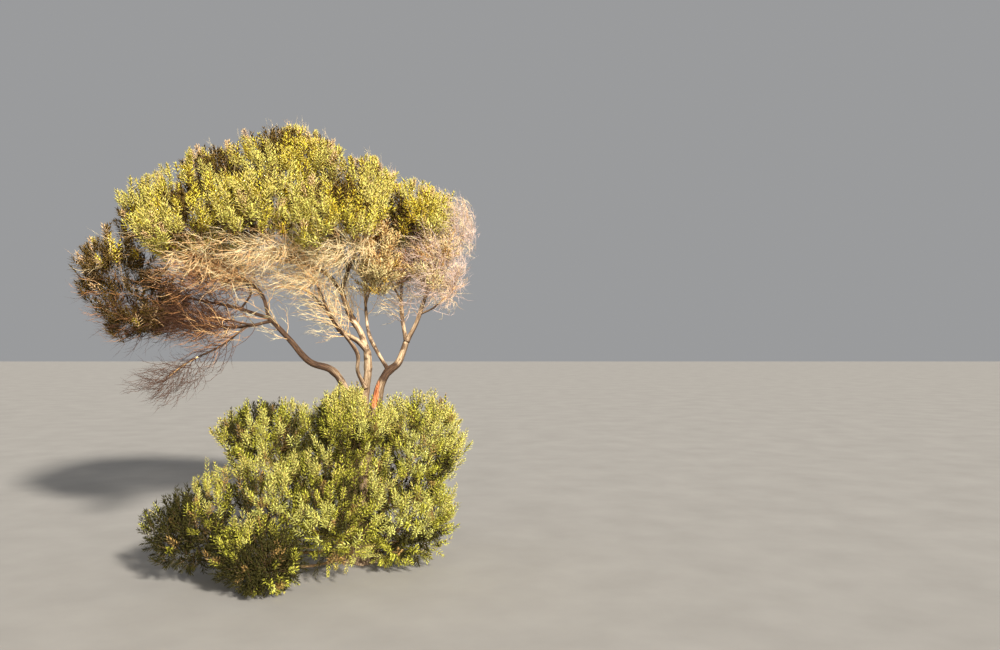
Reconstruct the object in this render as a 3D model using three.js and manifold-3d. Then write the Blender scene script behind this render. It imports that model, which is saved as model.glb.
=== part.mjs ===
// An olive tree of a windy shore, in millimetres, +Z up, with its origin on the flat cut under the trunk.
// Three stems rise from one short trunk and carry a domed crown that the wind has combed towards -X.
// Young shoots from the root crown stand round the foot as a dense skirt.
// The crown is leafy outside, and bare twigs fill its underside and its windward side.

import * as THREE from 'three';
import { mergeVertices } from 'three/addons/utils/BufferGeometryUtils.js';
import Module from 'manifold-3d';

const wasm = await Module();
wasm.setup();

// Driving dimensions of the trunk
const TRUNK = { height: 1120, waist: 104, fork: 118, forkSpread: 0.14, lean: 26, sides: 16, rings: 9 };
const ROOT_FLARE = { reach: 88, height: 130, ribs: 5, ribDepth: 0.32 };
const TRUNK_FOLDS = { depth: 7, count: 3, twistHeight: 300 };

// Driving dimensions of the joints between pieces
const CLEARANCE = 0.35;
const STEM_START = 14;
const TWIG_GAP = 1.6;
const SLIVER = 0.8;
const SPECK = 0.03;

// How finely the wood is faceted
const THICK_LIMB = { overRadius: 24, sides: 8, step: 95 };
const THIN_LIMB = { sides: 6, step: 130, leastSteps: 4 };
const STEM_RUNS = 3;
const TWIG_RUNS = [2, 1];

// Driving dimensions of the foliage. A blade stands for a spray of small leaves.
const BLADE = { length: 230, width: 64, thickness: 6, rootDepth: 1, widestShare: 0.42 };
const BLADE_SIZES = [1, 0.85, 0.7, 0.55];
const STEM_TIP = 6;
const NECK_RADIUS = 2.4;
const SHOOT = { radius: 17, depthInTrunk: 30, sag: 0.16 };
const TWIG_RADII = [8, 5];
const BARE_TWIG_RADII = [7, 4.4];
const BUD_STEP = 60;

// How the twigs spread. The leaf line is the underside of the leaves, which drops at the crown's lee end.
const GOLDEN_ANGLE = Math.PI * (3 - Math.sqrt(5));
const REACH_BALANCE = 0.35;
const SPACE_GAP = 0.05;
const GROUND_GAP = 12;
const LEAF_LINE = { height: 2820, leeHeight: 1850, from: -1350, to: -1750 };
const CROWN_MIDDLE = [-600, 0, 2300];
const SKIRT_MIDDLE = [-150, 0, 500];
const UP = new THREE.Vector3(0, 0, 1);
const WIND = new THREE.Vector3(-1, 0, 0.1);

const BARK = { color: 0xb59a80, roughness: 0.9, metalness: 0 };
const CROWN_LEAF = { color: 0x8f9140, roughness: 0.6, metalness: 0 };
const SKIRT_LEAF = { color: 0x7f8f52, roughness: 0.6, metalness: 0 };
const BROWN_LEAF = { color: 0xa58447, roughness: 0.7, metalness: 0 };
const BARE_WOOD = { color: 0xc49f7e, roughness: 0.9, metalness: 0 };

// The limbs, from the thickest to the thinnest: the points that the centre line of each passes through,
// the first of them inside the wood that it grows from, and its radius at the foot and at the tip.
const LIMBS = {
  left_limb: {
    radii: [47, 19],
    through: [[-66, -8, 1040], [-120, -40, 1480], [-246, -120, 1723], [-434, -200, 1806],
      [-600, -285, 2010], [-775, -350, 2219]],
  },
  main_stem: {
    radii: [46, 34],
    through: [[0, 10, 1040], [9, 5, 1436], [50, 0, 1709], [41, 5, 1930]],
  },
  right_stem: {
    radii: [58, 26],
    through: [[56, 0, 1040], [125, -5, 1420], [165, -5, 1590], [225, 5, 1705], [317, 30, 1785],
      [365, 50, 1900], [399, 50, 2010]],
  },
  main_left: {
    radii: [27, 13],
    through: [[41, 0, 1900], [-40, -30, 1990], [-168, -120, 2075], [-281, -220, 2260], [-420, -300, 2420]],
  },
  main_up: {
    radii: [30, 21],
    through: [[41, 8, 1895], [-22, 40, 2063], [-139, 70, 2260], [-213, 80, 2480]],
  },
  loop_stem: {
    radii: [18, 10],
    through: [[32, -25, 1560], [-30, -82, 1720], [-26, -110, 1870], [-130, -240, 2060], [-250, -330, 2270],
      [-330, -400, 2480]],
  },
  right_mid_up: {
    radii: [17, 10],
    through: [[240, 5, 1715], [114, 80, 1907], [35, 150, 2060], [-6, 220, 2345], [-10, 230, 2650],
      [50, 130, 2980]],
  },
  right_up: {
    radii: [20, 9],
    through: [[395, 50, 1985], [481, 50, 2146], [582, 50, 2430], [714, 20, 2672], [780, 10, 2850]],
  },
  right_up_left: {
    radii: [18, 9],
    through: [[393, 50, 1985], [352, 85, 2200], [345, 100, 2480], [385, 80, 2700], [450, 40, 2930]],
  },
  main_up_left: {
    radii: [17, 9],
    through: [[-205, 78, 2440], [-300, -20, 2580], [-500, -100, 2680], [-800, -110, 2740], [-1130, -60, 2960]],
  },
  main_up_top: {
    radii: [18, 9],
    through: [[-208, 80, 2450], [-150, 100, 2640], [-85, 100, 2840], [-190, 60, 3080], [-400, 30, 3250]],
  },
  left_high: {
    radii: [15, 8],
    through: [[-760, -345, 2200], [-830, -330, 2400], [-1120, -210, 2600], [-1600, -30, 2800]],
  },
  left_far: {
    radii: [14, 7],
    through: [[-752, -342, 2190], [-1080, -330, 2290], [-1500, -200, 2370], [-1900, -80, 2470]],
  },
  left_out: {
    radii: [13, 7],
    through: [[-735, -335, 2168], [-960, -340, 2120], [-1250, -300, 2120], [-1600, -220, 2160]],
  },
  hanging_bough: { radii: [9, 6], through: [[-960, -340, 2120], [-1150, -380, 1960], [-1380, -370, 1850]] },
  low_bough: { radii: [9, 6], through: [[-900, -338, 2133], [-990, -430, 2150], [-1080, -460, 2180]] },
  under_bough: { radii: [9, 7], through: [[-1010, -332, 2268], [-900, -400, 2420], [-960, -450, 2520]] },
  front_left_bough: {
    radii: [10, 7],
    through: [[-1060, -240, 2575], [-1150, -450, 2670], [-1230, -620, 2760]],
  },
  front_centre_bough: { radii: [10, 7], through: [[-500, -100, 2680], [-600, -380, 2730], [-690, -600, 2800]] },
  front_right_bough: { radii: [11, 7], through: [[-145, 100, 2655], [-130, -220, 2730], [-110, -520, 2800]] },
  back_left_bough: { radii: [11, 7], through: [[-1120, -210, 2600], [-1250, 250, 2640], [-1400, 560, 2700]] },
  back_centre_bough: { radii: [13, 8], through: [[-190, 75, 2400], [-360, 350, 2590], [-540, 620, 2800]] },
  back_right_bough: { radii: [11, 7], through: [[-6, 220, 2345], [50, 430, 2600], [80, 600, 2780]] },
  brown_bough: { radii: [9, 6], through: [[348, 90, 2330], [300, -30, 2460], [265, -110, 2540]] },
  right_side_bough: { radii: [9, 6], through: [[556, 50, 2355], [600, -30, 2480], [610, -60, 2560]] },
  right_low_bough: { radii: [9, 6], through: [[515, 50, 2235], [640, 20, 2290], [740, -10, 2370]] },
};

// The masses: the limb whose tip each grows from, the middle and radii of its space, and its kind.
// A mass with a foot height grows from the trunk at that height.
const MASSES = {
  top: { from: 'main_up_top', centre: [-610, 0, 3500], radii: [520, 480, 470], kind: 'leafy' },
  top_right: { from: 'right_mid_up', centre: [90, 50, 3290], radii: [420, 450, 410], kind: 'leafy' },
  right: { from: 'right_up_left', centre: [530, 0, 3120], radii: [370, 420, 310], kind: 'leafy' },
  top_left: { from: 'main_up_left', centre: [-1280, 50, 3330], radii: [480, 480, 430], kind: 'leafy' },
  upper_left: { from: 'left_high', centre: [-1800, 0, 3030], radii: [430, 500, 430], kind: 'leafy' },
  left_tip: { from: 'left_far', centre: [-2210, -50, 2600], radii: [390, 420, 340], kind: 'leafy' },
  left_low: { from: 'left_out', centre: [-1930, -150, 2230], radii: [400, 420, 310], kind: 'leafy' },
  front_left: { from: 'front_left_bough', centre: [-1290, -730, 2890], radii: [480, 420, 380], kind: 'leafy' },
  front_centre: { from: 'front_centre_bough', centre: [-700, -750, 2950], radii: [420, 420, 380], kind: 'leafy' },
  front_right: { from: 'front_right_bough', centre: [-90, -680, 2950], radii: [420, 400, 350], kind: 'leafy' },
  back_left: { from: 'back_left_bough', centre: [-1480, 780, 2850], radii: [500, 420, 430], kind: 'leafy' },
  back_centre: { from: 'back_centre_bough', centre: [-650, 850, 3000], radii: [480, 420, 450], kind: 'leafy' },
  back_right: { from: 'back_right_bough', centre: [120, 760, 2950], radii: [440, 420, 400], kind: 'leafy' },
  brown: { from: 'brown_bough', centre: [210, -130, 2680], radii: [300, 300, 330], kind: 'brown' },
  bare_right_tip: { from: 'right_up', centre: [850, 0, 3020], radii: [210, 260, 270], kind: 'bare' },
  bare_right: { from: 'right_side_bough', centre: [620, -60, 2690], radii: [280, 300, 320], kind: 'bare' },
  bare_right_low: { from: 'right_low_bough', centre: [850, -10, 2500], radii: [180, 220, 250], kind: 'bare' },
  bare_stream: { from: 'main_left', centre: [-720, -370, 2440], radii: [460, 320, 260], kind: 'bare' },
  bare_front: { from: 'loop_stem', centre: [-520, -450, 2660], radii: [420, 300, 260], kind: 'bare' },
  bare_left: { from: 'under_bough', centre: [-1250, -430, 2520], radii: [460, 360, 280], kind: 'bare' },
  bare_low: { from: 'low_bough', centre: [-1340, -430, 2180], radii: [370, 320, 230], kind: 'bare' },
  bare_hanging: { from: 'hanging_bough', centre: [-1640, -350, 1670], radii: [380, 300, 250], kind: 'bare' },
  skirt_right: { foot: 320, centre: [520, -100, 1020], radii: [470, 480, 500], kind: 'skirt' },
  skirt_right_low: { foot: 160, centre: [450, -350, 430], radii: [430, 430, 400], kind: 'skirt' },
  skirt_front: { foot: 380, centre: [-40, -450, 1140], radii: [400, 360, 430], kind: 'skirt' },
  skirt_front_low: { foot: 200, centre: [-110, -800, 600], radii: [430, 400, 430], kind: 'skirt' },
  skirt_left: { foot: 340, centre: [-830, -200, 1110], radii: [500, 450, 350], kind: 'skirt' },
  skirt_left_low: { foot: 220, centre: [-640, -680, 600], radii: [450, 420, 400], kind: 'skirt' },
  skirt_foot: { foot: 110, centre: [-620, -1100, 280], radii: [340, 300, 270], kind: 'skirt' },
  skirt_far_left: { foot: 130, centre: [-1250, -720, 430], radii: [460, 400, 350], kind: 'skirt' },
  skirt_back_left: { foot: 260, centre: [-520, 480, 720], radii: [520, 430, 520], kind: 'skirt' },
  skirt_back_right: { foot: 240, centre: [340, 540, 720], radii: [500, 430, 520], kind: 'skirt' },
};

// How many twigs each kind has at each of its two levels, how far out they end as a share of the space, how
// thick they are, which way they bow, whether they end in blades, and where along them side blades stand.
const KINDS = {
  leafy: {
    counts: [4, 7], reach: [0.4, 0.62], twigRadii: TWIG_RADII, bow: WIND, hasBlades: true,
    sideBlades: [[], [0.62]], look: CROWN_LEAF,
  },
  brown: {
    counts: [4, 9], reach: [0.45, 0.66], twigRadii: TWIG_RADII, bow: WIND, hasBlades: true,
    sideBlades: [[], []], look: BROWN_LEAF,
  },
  bare: {
    counts: [6, 14], reach: [0.62, 0.97], twigRadii: BARE_TWIG_RADII, bow: WIND, hasBlades: false,
    sideBlades: [[], []], look: BARE_WOOD,
  },
  skirt: {
    counts: [4, 7], reach: [0.4, 0.6], twigRadii: TWIG_RADII, bow: UP, hasBlades: true,
    sideBlades: [[], [0.62]], look: SKIRT_LEAF,
  },
};

const vector = (xyz) => new THREE.Vector3(...xyz);

// A number from 0 to 1 that looks random and is always the same for the same keys.
function chance(a, b = 0, c = 0) {
  const x = Math.sin(a * 12.9898 + b * 78.233 + c * 37.719) * 43758.5453;
  return x - Math.floor(x);
}

// A closed three.js geometry as a solid.
function solidOf(geometry) {
  geometry.deleteAttribute('normal');
  geometry.deleteAttribute('uv');
  const merged = mergeVertices(geometry, 1e-4);
  const triVerts = new Uint32Array(merged.index.array);
  const vertProperties = new Float32Array(merged.attributes.position.array);
  return new wasm.Manifold(new wasm.Mesh({ numProp: 3, vertProperties, triVerts }));
}

// A solid as a named three.js mesh.
function meshOf(solid, name, look) {
  const { numProp, numVert, vertProperties, triVerts } = solid.getMesh();
  const position = new Float32Array(numVert * 3);
  for (let i = 0; i < numVert; i++) {
    position.set(vertProperties.subarray(i * numProp, i * numProp + 3), i * 3);
  }
  const geometry = new THREE.BufferGeometry();
  geometry.setAttribute('position', new THREE.BufferAttribute(position, 3));
  geometry.setIndex(new THREE.BufferAttribute(triVerts, 1));
  const mesh = new THREE.Mesh(geometry, new THREE.MeshStandardMaterial(look));
  mesh.name = name;
  return mesh;
}

// The largest body of a solid, which drops the scraps that a cut leaves.
function largestBody(solid) {
  return solid.decompose().reduce((a, b) => (b.volume() > a.volume() ? b : a));
}

// The trunk's radius at a height and an angle: a waist, a wider fork above it, and ribbed roots below.
function trunkRadius(height, angle) {
  const toFork = Math.pow(height / TRUNK.height, 3);
  const spread = 1 + TRUNK.forkSpread * toFork * Math.cos(2 * angle);
  const ribs = 1 + ROOT_FLARE.ribDepth * Math.cos(ROOT_FLARE.ribs * angle + 0.6);
  const flare = ROOT_FLARE.reach * Math.exp(-height / ROOT_FLARE.height) * ribs;
  const folds = TRUNK_FOLDS.depth * Math.cos(TRUNK_FOLDS.count * angle + height / TRUNK_FOLDS.twistHeight);
  return (TRUNK.waist + (TRUNK.fork - TRUNK.waist) * toFork) * spread + flare + folds;
}

// The middle of the trunk at a height: it bows a little towards the lee side below the fork.
function trunkMiddle(height) {
  return new THREE.Vector3(-TRUNK.lean * Math.sin((height / TRUNK.height) * Math.PI), 0, height);
}

// The trunk as a cylinder whose rings follow its radius and middle. Grown, it is that much larger all round.
function trunkSolid(grow = 0) {
  const geometry = new THREE.CylinderGeometry(1, 1, 1, TRUNK.sides, TRUNK.rings);
  const position = geometry.attributes.position;
  for (let i = 0; i < position.count; i++) {
    const share = Math.pow(position.getY(i) + 0.5, 1.4);
    const height = share * TRUNK.height;
    const angle = Math.atan2(position.getX(i), position.getZ(i));
    const radius = Math.hypot(position.getX(i), position.getZ(i)) * (trunkRadius(height, angle) + grow);
    const { x, y, z } = trunkMiddle(height);
    const top = share === 1 ? grow : 0;
    position.setXYZ(i, x + radius * Math.cos(angle), y + radius * Math.sin(angle), z + top);
  }
  return solidOf(geometry);
}

// A closed piece through stations, the last of which may be a point. A station is a place, the direction
// along the piece, a direction across it, and the radius across and at right angles to that.
function loft(stations, sides) {
  const last = stations.length - 1;
  const isPointed = stations[last].width === 0;
  const geometry = new THREE.CylinderGeometry(isPointed ? 0 : 1, 1, 1, sides, last);
  const position = geometry.attributes.position;
  const at = new THREE.Vector3();
  for (let i = 0; i < position.count; i++) {
    const { place, along, across, width, thickness } = stations[Math.round((position.getY(i) + 0.5) * last)];
    const round = Math.hypot(position.getX(i), position.getZ(i)) || 1;
    const normal = new THREE.Vector3().crossVectors(across, along);
    at.copy(place).addScaledVector(across, (position.getX(i) / round) * width);
    at.addScaledVector(normal, (position.getZ(i) / round) * thickness);
    position.setXYZ(i, at.x, at.y, at.z);
  }
  return solidOf(geometry);
}

// A bent curve as straight runs, which the wood along it then follows exactly.
class StraightRuns extends THREE.Curve {
  constructor(curve, runs) {
    super();
    this.points = curve.getSpacedPoints(runs);
  }

  getPoint(share, target = new THREE.Vector3()) {
    const runs = this.points.length - 1;
    const run = Math.min(Math.floor(share * runs), runs - 1);
    return target.lerpVectors(this.points[run], this.points[run + 1], share * runs - run);
  }
}

// A tapering rod along a curve.
function rod(curve, footRadius, tipRadius, sides, steps) {
  const frames = curve.computeFrenetFrames(steps, false);
  const stations = curve.getSpacedPoints(steps).map((place, i) => {
    const radius = THREE.MathUtils.lerp(footRadius, tipRadius, i / steps);
    return { place, along: frames.tangents[i], across: frames.binormals[i], width: radius, thickness: radius };
  });
  return loft(stations, sides);
}

// A limb, and the same limb a clearance larger all round and at its tip, which its neighbours are cut by.
function limbSolid(limb, grow = 0) {
  const points = limb.through.map(vector);
  if (grow) {
    const last = points.length - 1;
    const along = points[last].clone().sub(points[last - 1]).normalize();
    points[last].addScaledVector(along, grow);
  }
  const curve = new THREE.CatmullRomCurve3(points);
  const [foot, tip] = limb.radii;
  const { sides, step } = foot > THICK_LIMB.overRadius ? THICK_LIMB : THIN_LIMB;
  const steps = Math.max(THIN_LIMB.leastSteps, Math.round(curve.getLength() / step));
  return rod(curve, foot + grow, tip + grow, sides, steps);
}

// A blade: an eight-faced lozenge, widest near its root, with that root sunk past the point it stands on.
function blade(at, along, flat, length) {
  const geometry = new THREE.OctahedronGeometry(1);
  const size = length / BLADE.length;
  geometry.scale((BLADE.width / 2) * size, length / 2, BLADE.thickness / 2);
  const position = geometry.attributes.position;
  for (let i = 0; i < position.count; i++) {
    const isTipOrRoot = Math.abs(position.getY(i)) > length / 4;
    const shifted = isTipOrRoot ? position.getY(i) : (BLADE.widestShare - 0.5) * length;
    position.setY(i, shifted + 0.5 * length - BLADE.rootDepth);
  }
  const side = new THREE.Vector3().crossVectors(along, flat).normalize();
  const normal = new THREE.Vector3().crossVectors(side, along).normalize();
  geometry.applyMatrix4(new THREE.Matrix4().makeBasis(side, along, normal).setPosition(at));
  return solidOf(geometry);
}

// A bent twig that widens at its end into a flat blade, all one three-sided piece.
function leafedTwig(curve, radius, { along, flat }, length, runs) {
  const side = new THREE.Vector3().crossVectors(along, flat).normalize();
  const station = (place, direction, width, thickness) => {
    const across = side.clone().addScaledVector(direction, -side.dot(direction)).normalize();
    return { place, along: direction, across, width, thickness };
  };
  const neck = curve.getPointAt(1);
  const size = length / BLADE.length;
  const middle = neck.clone().addScaledVector(along, BLADE.widestShare * length);
  const wood = Array.from({ length: runs }, (_, i) => {
    const thin = THREE.MathUtils.lerp(radius, NECK_RADIUS, i / runs);
    return station(curve.getPoint(i / runs), curve.getTangent(i / runs), thin, thin);
  });
  return loft([
    ...wood,
    station(neck, along, NECK_RADIUS, NECK_RADIUS),
    station(middle, along, (size * BLADE.width) / 1.73, BLADE.thickness / 1.5),
    station(neck.clone().addScaledVector(along, length), along, 0, 0),
  ], 3);
}

// How far a point is from the middle of a space, where 1 is the edge of the space.
function depthIn(space, point) {
  const [x, y, z] = space.centre;
  const [a, b, c] = space.radii;
  return Math.hypot((point.x - x) / a, (point.y - y) / b, (point.z - z) / c);
}

// True if a point lies in its mass's own space, and not nearer to the middle of another one.
function inOwnSpace(name, point, edge = 1.02) {
  const own = depthIn(MASSES[name], point);
  if (own > edge || point.z < GROUND_GAP) return false;
  return Object.entries(MASSES).every(([other, mass]) => (
    other === name || depthIn(mass, point) > own + SPACE_GAP));
}

// True if a point of the crown is above the underside of its leaves.
function isLeafy(point) {
  const lee = THREE.MathUtils.smoothstep(-point.x, -LEAF_LINE.from, -LEAF_LINE.to);
  return point.z > THREE.MathUtils.lerp(LEAF_LINE.height, LEAF_LINE.leeHeight, lee);
}

// The aims of a level of twigs: points spread evenly in direction by the golden angle, at about one depth.
// The first of the finer ones leads straight out of the plant, so that the mass reaches its edge there.
function aims(mass, seed, level, count, reach) {
  const centre = vector(mass.centre);
  const lead = centre.clone().sub(vector(mass.foot ? SKIRT_MIDDLE : CROWN_MIDDLE)).normalize();
  const turned = new THREE.Quaternion().setFromUnitVectors(UP, lead);
  return Array.from({ length: count }, (_, i) => {
    const up = level ? 1 - (2 * i) / (count - 0.5) : 1 - (2 * i + 1) / count;
    const turn = i * GOLDEN_ANGLE + seed + level;
    const ring = Math.sqrt(1 - up * up);
    const depth = reach * (up < 1 ? 0.9 + 0.14 * chance(seed, level, i) : 1);
    const out = new THREE.Vector3(ring * Math.cos(turn), ring * Math.sin(turn), up).applyQuaternion(turned);
    return out.multiply(vector(mass.radii)).multiplyScalar(depth).add(centre);
  });
}

// The points of a twig that finer twigs may grow from, each with its way back to the mass's foot.
function buds(curve, reachAtFoot, radius, from) {
  const length = curve.getLength();
  const count = Math.max(3, Math.round(length / BUD_STEP));
  return Array.from({ length: count }, (_, i) => {
    const share = 1 - ((1 - from) * (count - 1 - i)) / count;
    return {
      point: curve.getPointAt(share),
      along: curve.getTangentAt(share),
      reach: reachAtFoot + share * length,
      radius: radius * (1 - 0.6 * share),
    };
  });
}

// The bud that a twig to this aim grows from: the nearest one, but less far from the foot is better.
function nearestBud(all, aim) {
  const cost = (bud) => bud.point.distanceTo(aim) + REACH_BALANCE * bud.reach;
  return all.reduce((a, b) => (cost(b) < cost(a) ? b : a));
}

// A twig from a bud to its aim. It leaves along its parent, then turns, and sags or is combed by the wind.
function twigCurve(bud, aim, bow, runs) {
  const length = bud.point.distanceTo(aim);
  const middle = bud.point.clone().addScaledVector(bud.along, 0.28 * length);
  middle.add(aim.clone().sub(bud.point).multiplyScalar(0.26)).addScaledVector(bow, 0.1 * length);
  return new StraightRuns(new THREE.QuadraticBezierCurve3(bud.point, middle, aim), runs);
}

// True if a piece keeps clear of every solid near it.
function isClear(piece, neighbours) {
  const box = piece.boundingBox();
  return neighbours.every(({ solid, low, high }) => {
    const apart = [0, 1, 2].some((k) => box.min[k] > high[k] + TWIG_GAP || box.max[k] < low[k] - TWIG_GAP);
    return apart || piece.minGap(solid, TWIG_GAP) >= TWIG_GAP;
  });
}

// A solid with the corners of its box, for quick tests.
function withBox(solid) {
  const { min, max } = solid.boundingBox();
  return { solid, low: min, high: max };
}

// The curve of a mass's stem: out of its bough's tip or the trunk, and on to the middle of its space.
function stemCurve(mass) {
  const centre = vector(mass.centre);
  if (mass.from) {
    const limb = LIMBS[mass.from];
    const curve = new THREE.CatmullRomCurve3(limb.through.map(vector));
    const tip = curve.getPointAt(1);
    const along = curve.getTangentAt(1);
    const middle = tip.clone().addScaledVector(along, 0.45 * tip.distanceTo(centre));
    const foot = tip.clone().addScaledVector(along, -STEM_START);
    const bent = new THREE.QuadraticBezierCurve3(foot, middle, centre);
    return { curve: new StraightRuns(bent, STEM_RUNS), radius: limb.radii[1] * 0.96 };
  }
  const out = new THREE.Vector3(centre.x, centre.y, 0).normalize();
  const foot = trunkMiddle(mass.foot).addScaledVector(out, TRUNK.waist - SHOOT.depthInTrunk);
  const middle = foot.clone().lerp(centre, 0.5).addScaledVector(UP, -SHOOT.sag * foot.distanceTo(centre));
  const bent = new THREE.QuadraticBezierCurve3(foot, middle, centre);
  return { curve: new StraightRuns(bent, STEM_RUNS), radius: SHOOT.radius };
}

// Where a blade stands on a twig, and its direction: outward, along the twig and upward, and to one side
// where it isn't at the twig's end.
function bladeWay(curve, share, centre, turn) {
  const place = curve.getPointAt(share);
  const out = place.clone().sub(centre).normalize();
  const tangent = curve.getTangentAt(share);
  const side = new THREE.Vector3().crossVectors(tangent, out).normalize().applyAxisAngle(tangent, turn);
  const along = out.clone().multiplyScalar(0.75).addScaledVector(tangent, 0.5).addScaledVector(UP, 0.55);
  if (share < 1) along.addScaledVector(side, 1.1);
  return { place, along: along.normalize(), flat: side.add(out).addScaledVector(WIND, 0.3) };
}

// The lengths at which a blade stays in its mass's own space.
function fittingLengths(name, { place, along }) {
  const staysIn = (reach) => inOwnSpace(name, place.clone().addScaledVector(along, reach));
  const lengths = BLADE_SIZES.map((size) => size * BLADE.length);
  return lengths.filter((length) => staysIn(0.5 * length) && staysIn(length));
}

// The pieces of one mass, which keep clear of its neighbours, and whose blades cross nothing of their own.
class Pieces {
  constructor(stem, neighbours) {
    this.solids = [stem];
    this.blades = [];
    this.neighbours = neighbours;
  }

  // Adds the longest of several sizes that keeps clear, and says whether one did. Length 0 has no blade.
  addFirstClear(lengths, { place, along, flat }, make) {
    const crosses = (a, b) => a.minGap(b, 1) < 1;
    for (const length of lengths) {
      const piece = make(length);
      const start = place.clone().addScaledVector(along, 0.35 * length);
      const outer = length ? blade(start, along, flat, 0.7 * length) : null;
      const isTangled = this.blades.some((other) => crosses(piece, other))
        || (outer && this.solids.some((other) => crosses(outer, other)));
      if (!isTangled && isClear(piece, this.neighbours)) {
        this.solids.push(piece);
        if (outer) this.blades.push(outer);
        return true;
      }
    }
    return false;
  }
}

// A mass: a stem, two levels of twigs that each grow from the nearest coarser wood, and blades on them.
function massSolid(name, seed, seat, neighbours) {
  const mass = MASSES[name];
  const kind = KINDS[mass.kind];
  const centre = vector(mass.centre);
  const stem = stemCurve(mass);
  const pieces = new Pieces(rod(stem.curve, stem.radius, STEM_TIP, 4, STEM_RUNS), neighbours);
  let wood = buds(stem.curve, 0, stem.radius, 0.35);

  kind.counts.forEach((count, level) => {
    const runs = TWIG_RUNS[level];
    const grown = [];
    aims(mass, seed, level, count, kind.reach[level]).forEach((aim, i) => {
      if (!inOwnSpace(name, aim)) return;
      const bud = nearestBud(wood, aim);
      const curve = twigCurve(bud, aim, kind.bow, runs);
      if (!inOwnSpace(name, curve.getPointAt(0.6), 1.1)) return;
      const radius = Math.min(kind.twigRadii[level], 0.62 * bud.radius);
      const hasLeaves = kind.hasBlades && (mass.kind !== 'leafy' || isLeafy(aim));
      const end = bladeWay(curve, 1, centre, 0);
      const lengths = hasLeaves ? [...fittingLengths(name, end), 0] : [0];
      const isGrown = pieces.addFirstClear(lengths, end, (length) => (
        length ? leafedTwig(curve, radius, end, length, runs) : rod(curve, radius, 0, 3, runs)));
      if (!isGrown) return;
      grown.push(...buds(curve, bud.reach, radius, 0.2));
      if (!hasLeaves || i % 3 === 1) return;
      for (const share of kind.sideBlades[level]) {
        const way = bladeWay(curve, share, centre, Math.PI * i);
        const fitting = fittingLengths(name, way);
        pieces.addFirstClear(fitting, way, (length) => blade(way.place, way.along, way.flat, length));
      }
    });
    wood = wood.concat(grown);
  });
  const fused = wasm.Manifold.union(pieces.solids).simplify(SLIVER);
  return largestBody(fused.subtract(seat).simplify(SPECK));
}

const tree = new THREE.Group();
tree.add(meshOf(trunkSolid(), 'trunk', BARK));

// Each limb is cut clear of every earlier one, so that it seats on the one it grows from.
const cutters = { trunk: trunkSolid(CLEARANCE) };
const neighbours = [withBox(trunkSolid())];
for (const [name, limb] of Object.entries(LIMBS)) {
  const earlier = wasm.Manifold.union(Object.values(cutters));
  const seated = largestBody(limbSolid(limb).subtract(earlier).simplify(SPECK));
  cutters[name] = limbSolid(limb, CLEARANCE);
  neighbours.push(withBox(seated));
  tree.add(meshOf(seated, name, BARK));
}

// Each mass keeps clear of the limbs and of every earlier mass, and seats on what it grows from.
Object.entries(MASSES).forEach(([name, { from = 'trunk', kind }], seed) => {
  const solid = massSolid(name, seed, cutters[from], neighbours);
  neighbours.push(withBox(solid));
  tree.add(meshOf(solid, `foliage_${name}`, KINDS[kind].look));
});

export default tree;
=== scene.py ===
"""An olive tree of a windy shore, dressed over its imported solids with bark, twigs and leaves.

Everything is in metres, +Z up, with the origin on the flat cut under the trunk. Limbs are tubes along smooth
paths. In each mass of foliage, twigs grow to aims spread by the golden angle, each from the nearest bud of
the coarser wood, down to shoots that carry pairs of leaves, or to bare twiglets. All scatter comes from
chances with fixed keys, so each run gives the same tree.
"""
import itertools
from collections import namedtuple

import bpy
import numpy as np
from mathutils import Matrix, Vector


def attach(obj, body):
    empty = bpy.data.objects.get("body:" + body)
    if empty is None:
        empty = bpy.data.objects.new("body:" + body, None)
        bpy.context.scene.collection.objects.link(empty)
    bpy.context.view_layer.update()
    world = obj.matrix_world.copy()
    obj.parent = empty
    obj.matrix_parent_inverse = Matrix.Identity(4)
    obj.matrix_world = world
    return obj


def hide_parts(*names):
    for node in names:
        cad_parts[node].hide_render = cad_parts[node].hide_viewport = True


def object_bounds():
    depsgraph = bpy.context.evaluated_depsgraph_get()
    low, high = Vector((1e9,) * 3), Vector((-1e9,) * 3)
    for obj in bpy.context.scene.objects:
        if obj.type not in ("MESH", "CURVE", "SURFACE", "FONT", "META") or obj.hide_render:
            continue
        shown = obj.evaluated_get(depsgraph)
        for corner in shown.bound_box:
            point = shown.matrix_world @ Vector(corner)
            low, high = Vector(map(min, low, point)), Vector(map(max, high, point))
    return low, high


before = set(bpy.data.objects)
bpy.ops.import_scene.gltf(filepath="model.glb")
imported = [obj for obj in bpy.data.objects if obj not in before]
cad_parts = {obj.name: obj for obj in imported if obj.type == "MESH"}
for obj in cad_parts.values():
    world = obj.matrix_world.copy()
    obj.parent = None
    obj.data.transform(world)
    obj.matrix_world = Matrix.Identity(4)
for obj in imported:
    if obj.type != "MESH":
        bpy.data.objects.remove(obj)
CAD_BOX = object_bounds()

UP = np.array([0.0, 0.0, 1.0])
WIND = np.array([-1.0, 0.0, 0.1])
GOLDEN_ANGLE = np.pi * (3 - np.sqrt(5))
ALL_ROUND = 6.28

# The trunk's driving sizes
TRUNK_HEIGHT = 1.12
TRUNK_WAIST = 0.104
TRUNK_FORK = 0.118
FORK_SPREAD = 0.14
TRUNK_LEAN = 0.026
FLARE_REACH = 0.088
FLARE_HEIGHT = 0.13
FLARE_RIBS = 5
FLARE_TURN = 0.6
RIB_DEPTH = 0.32
FOLDS = 3
FOLD_DEPTH = 0.007
FOLD_TWIST = 0.3
DOME_START = 1.06

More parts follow.
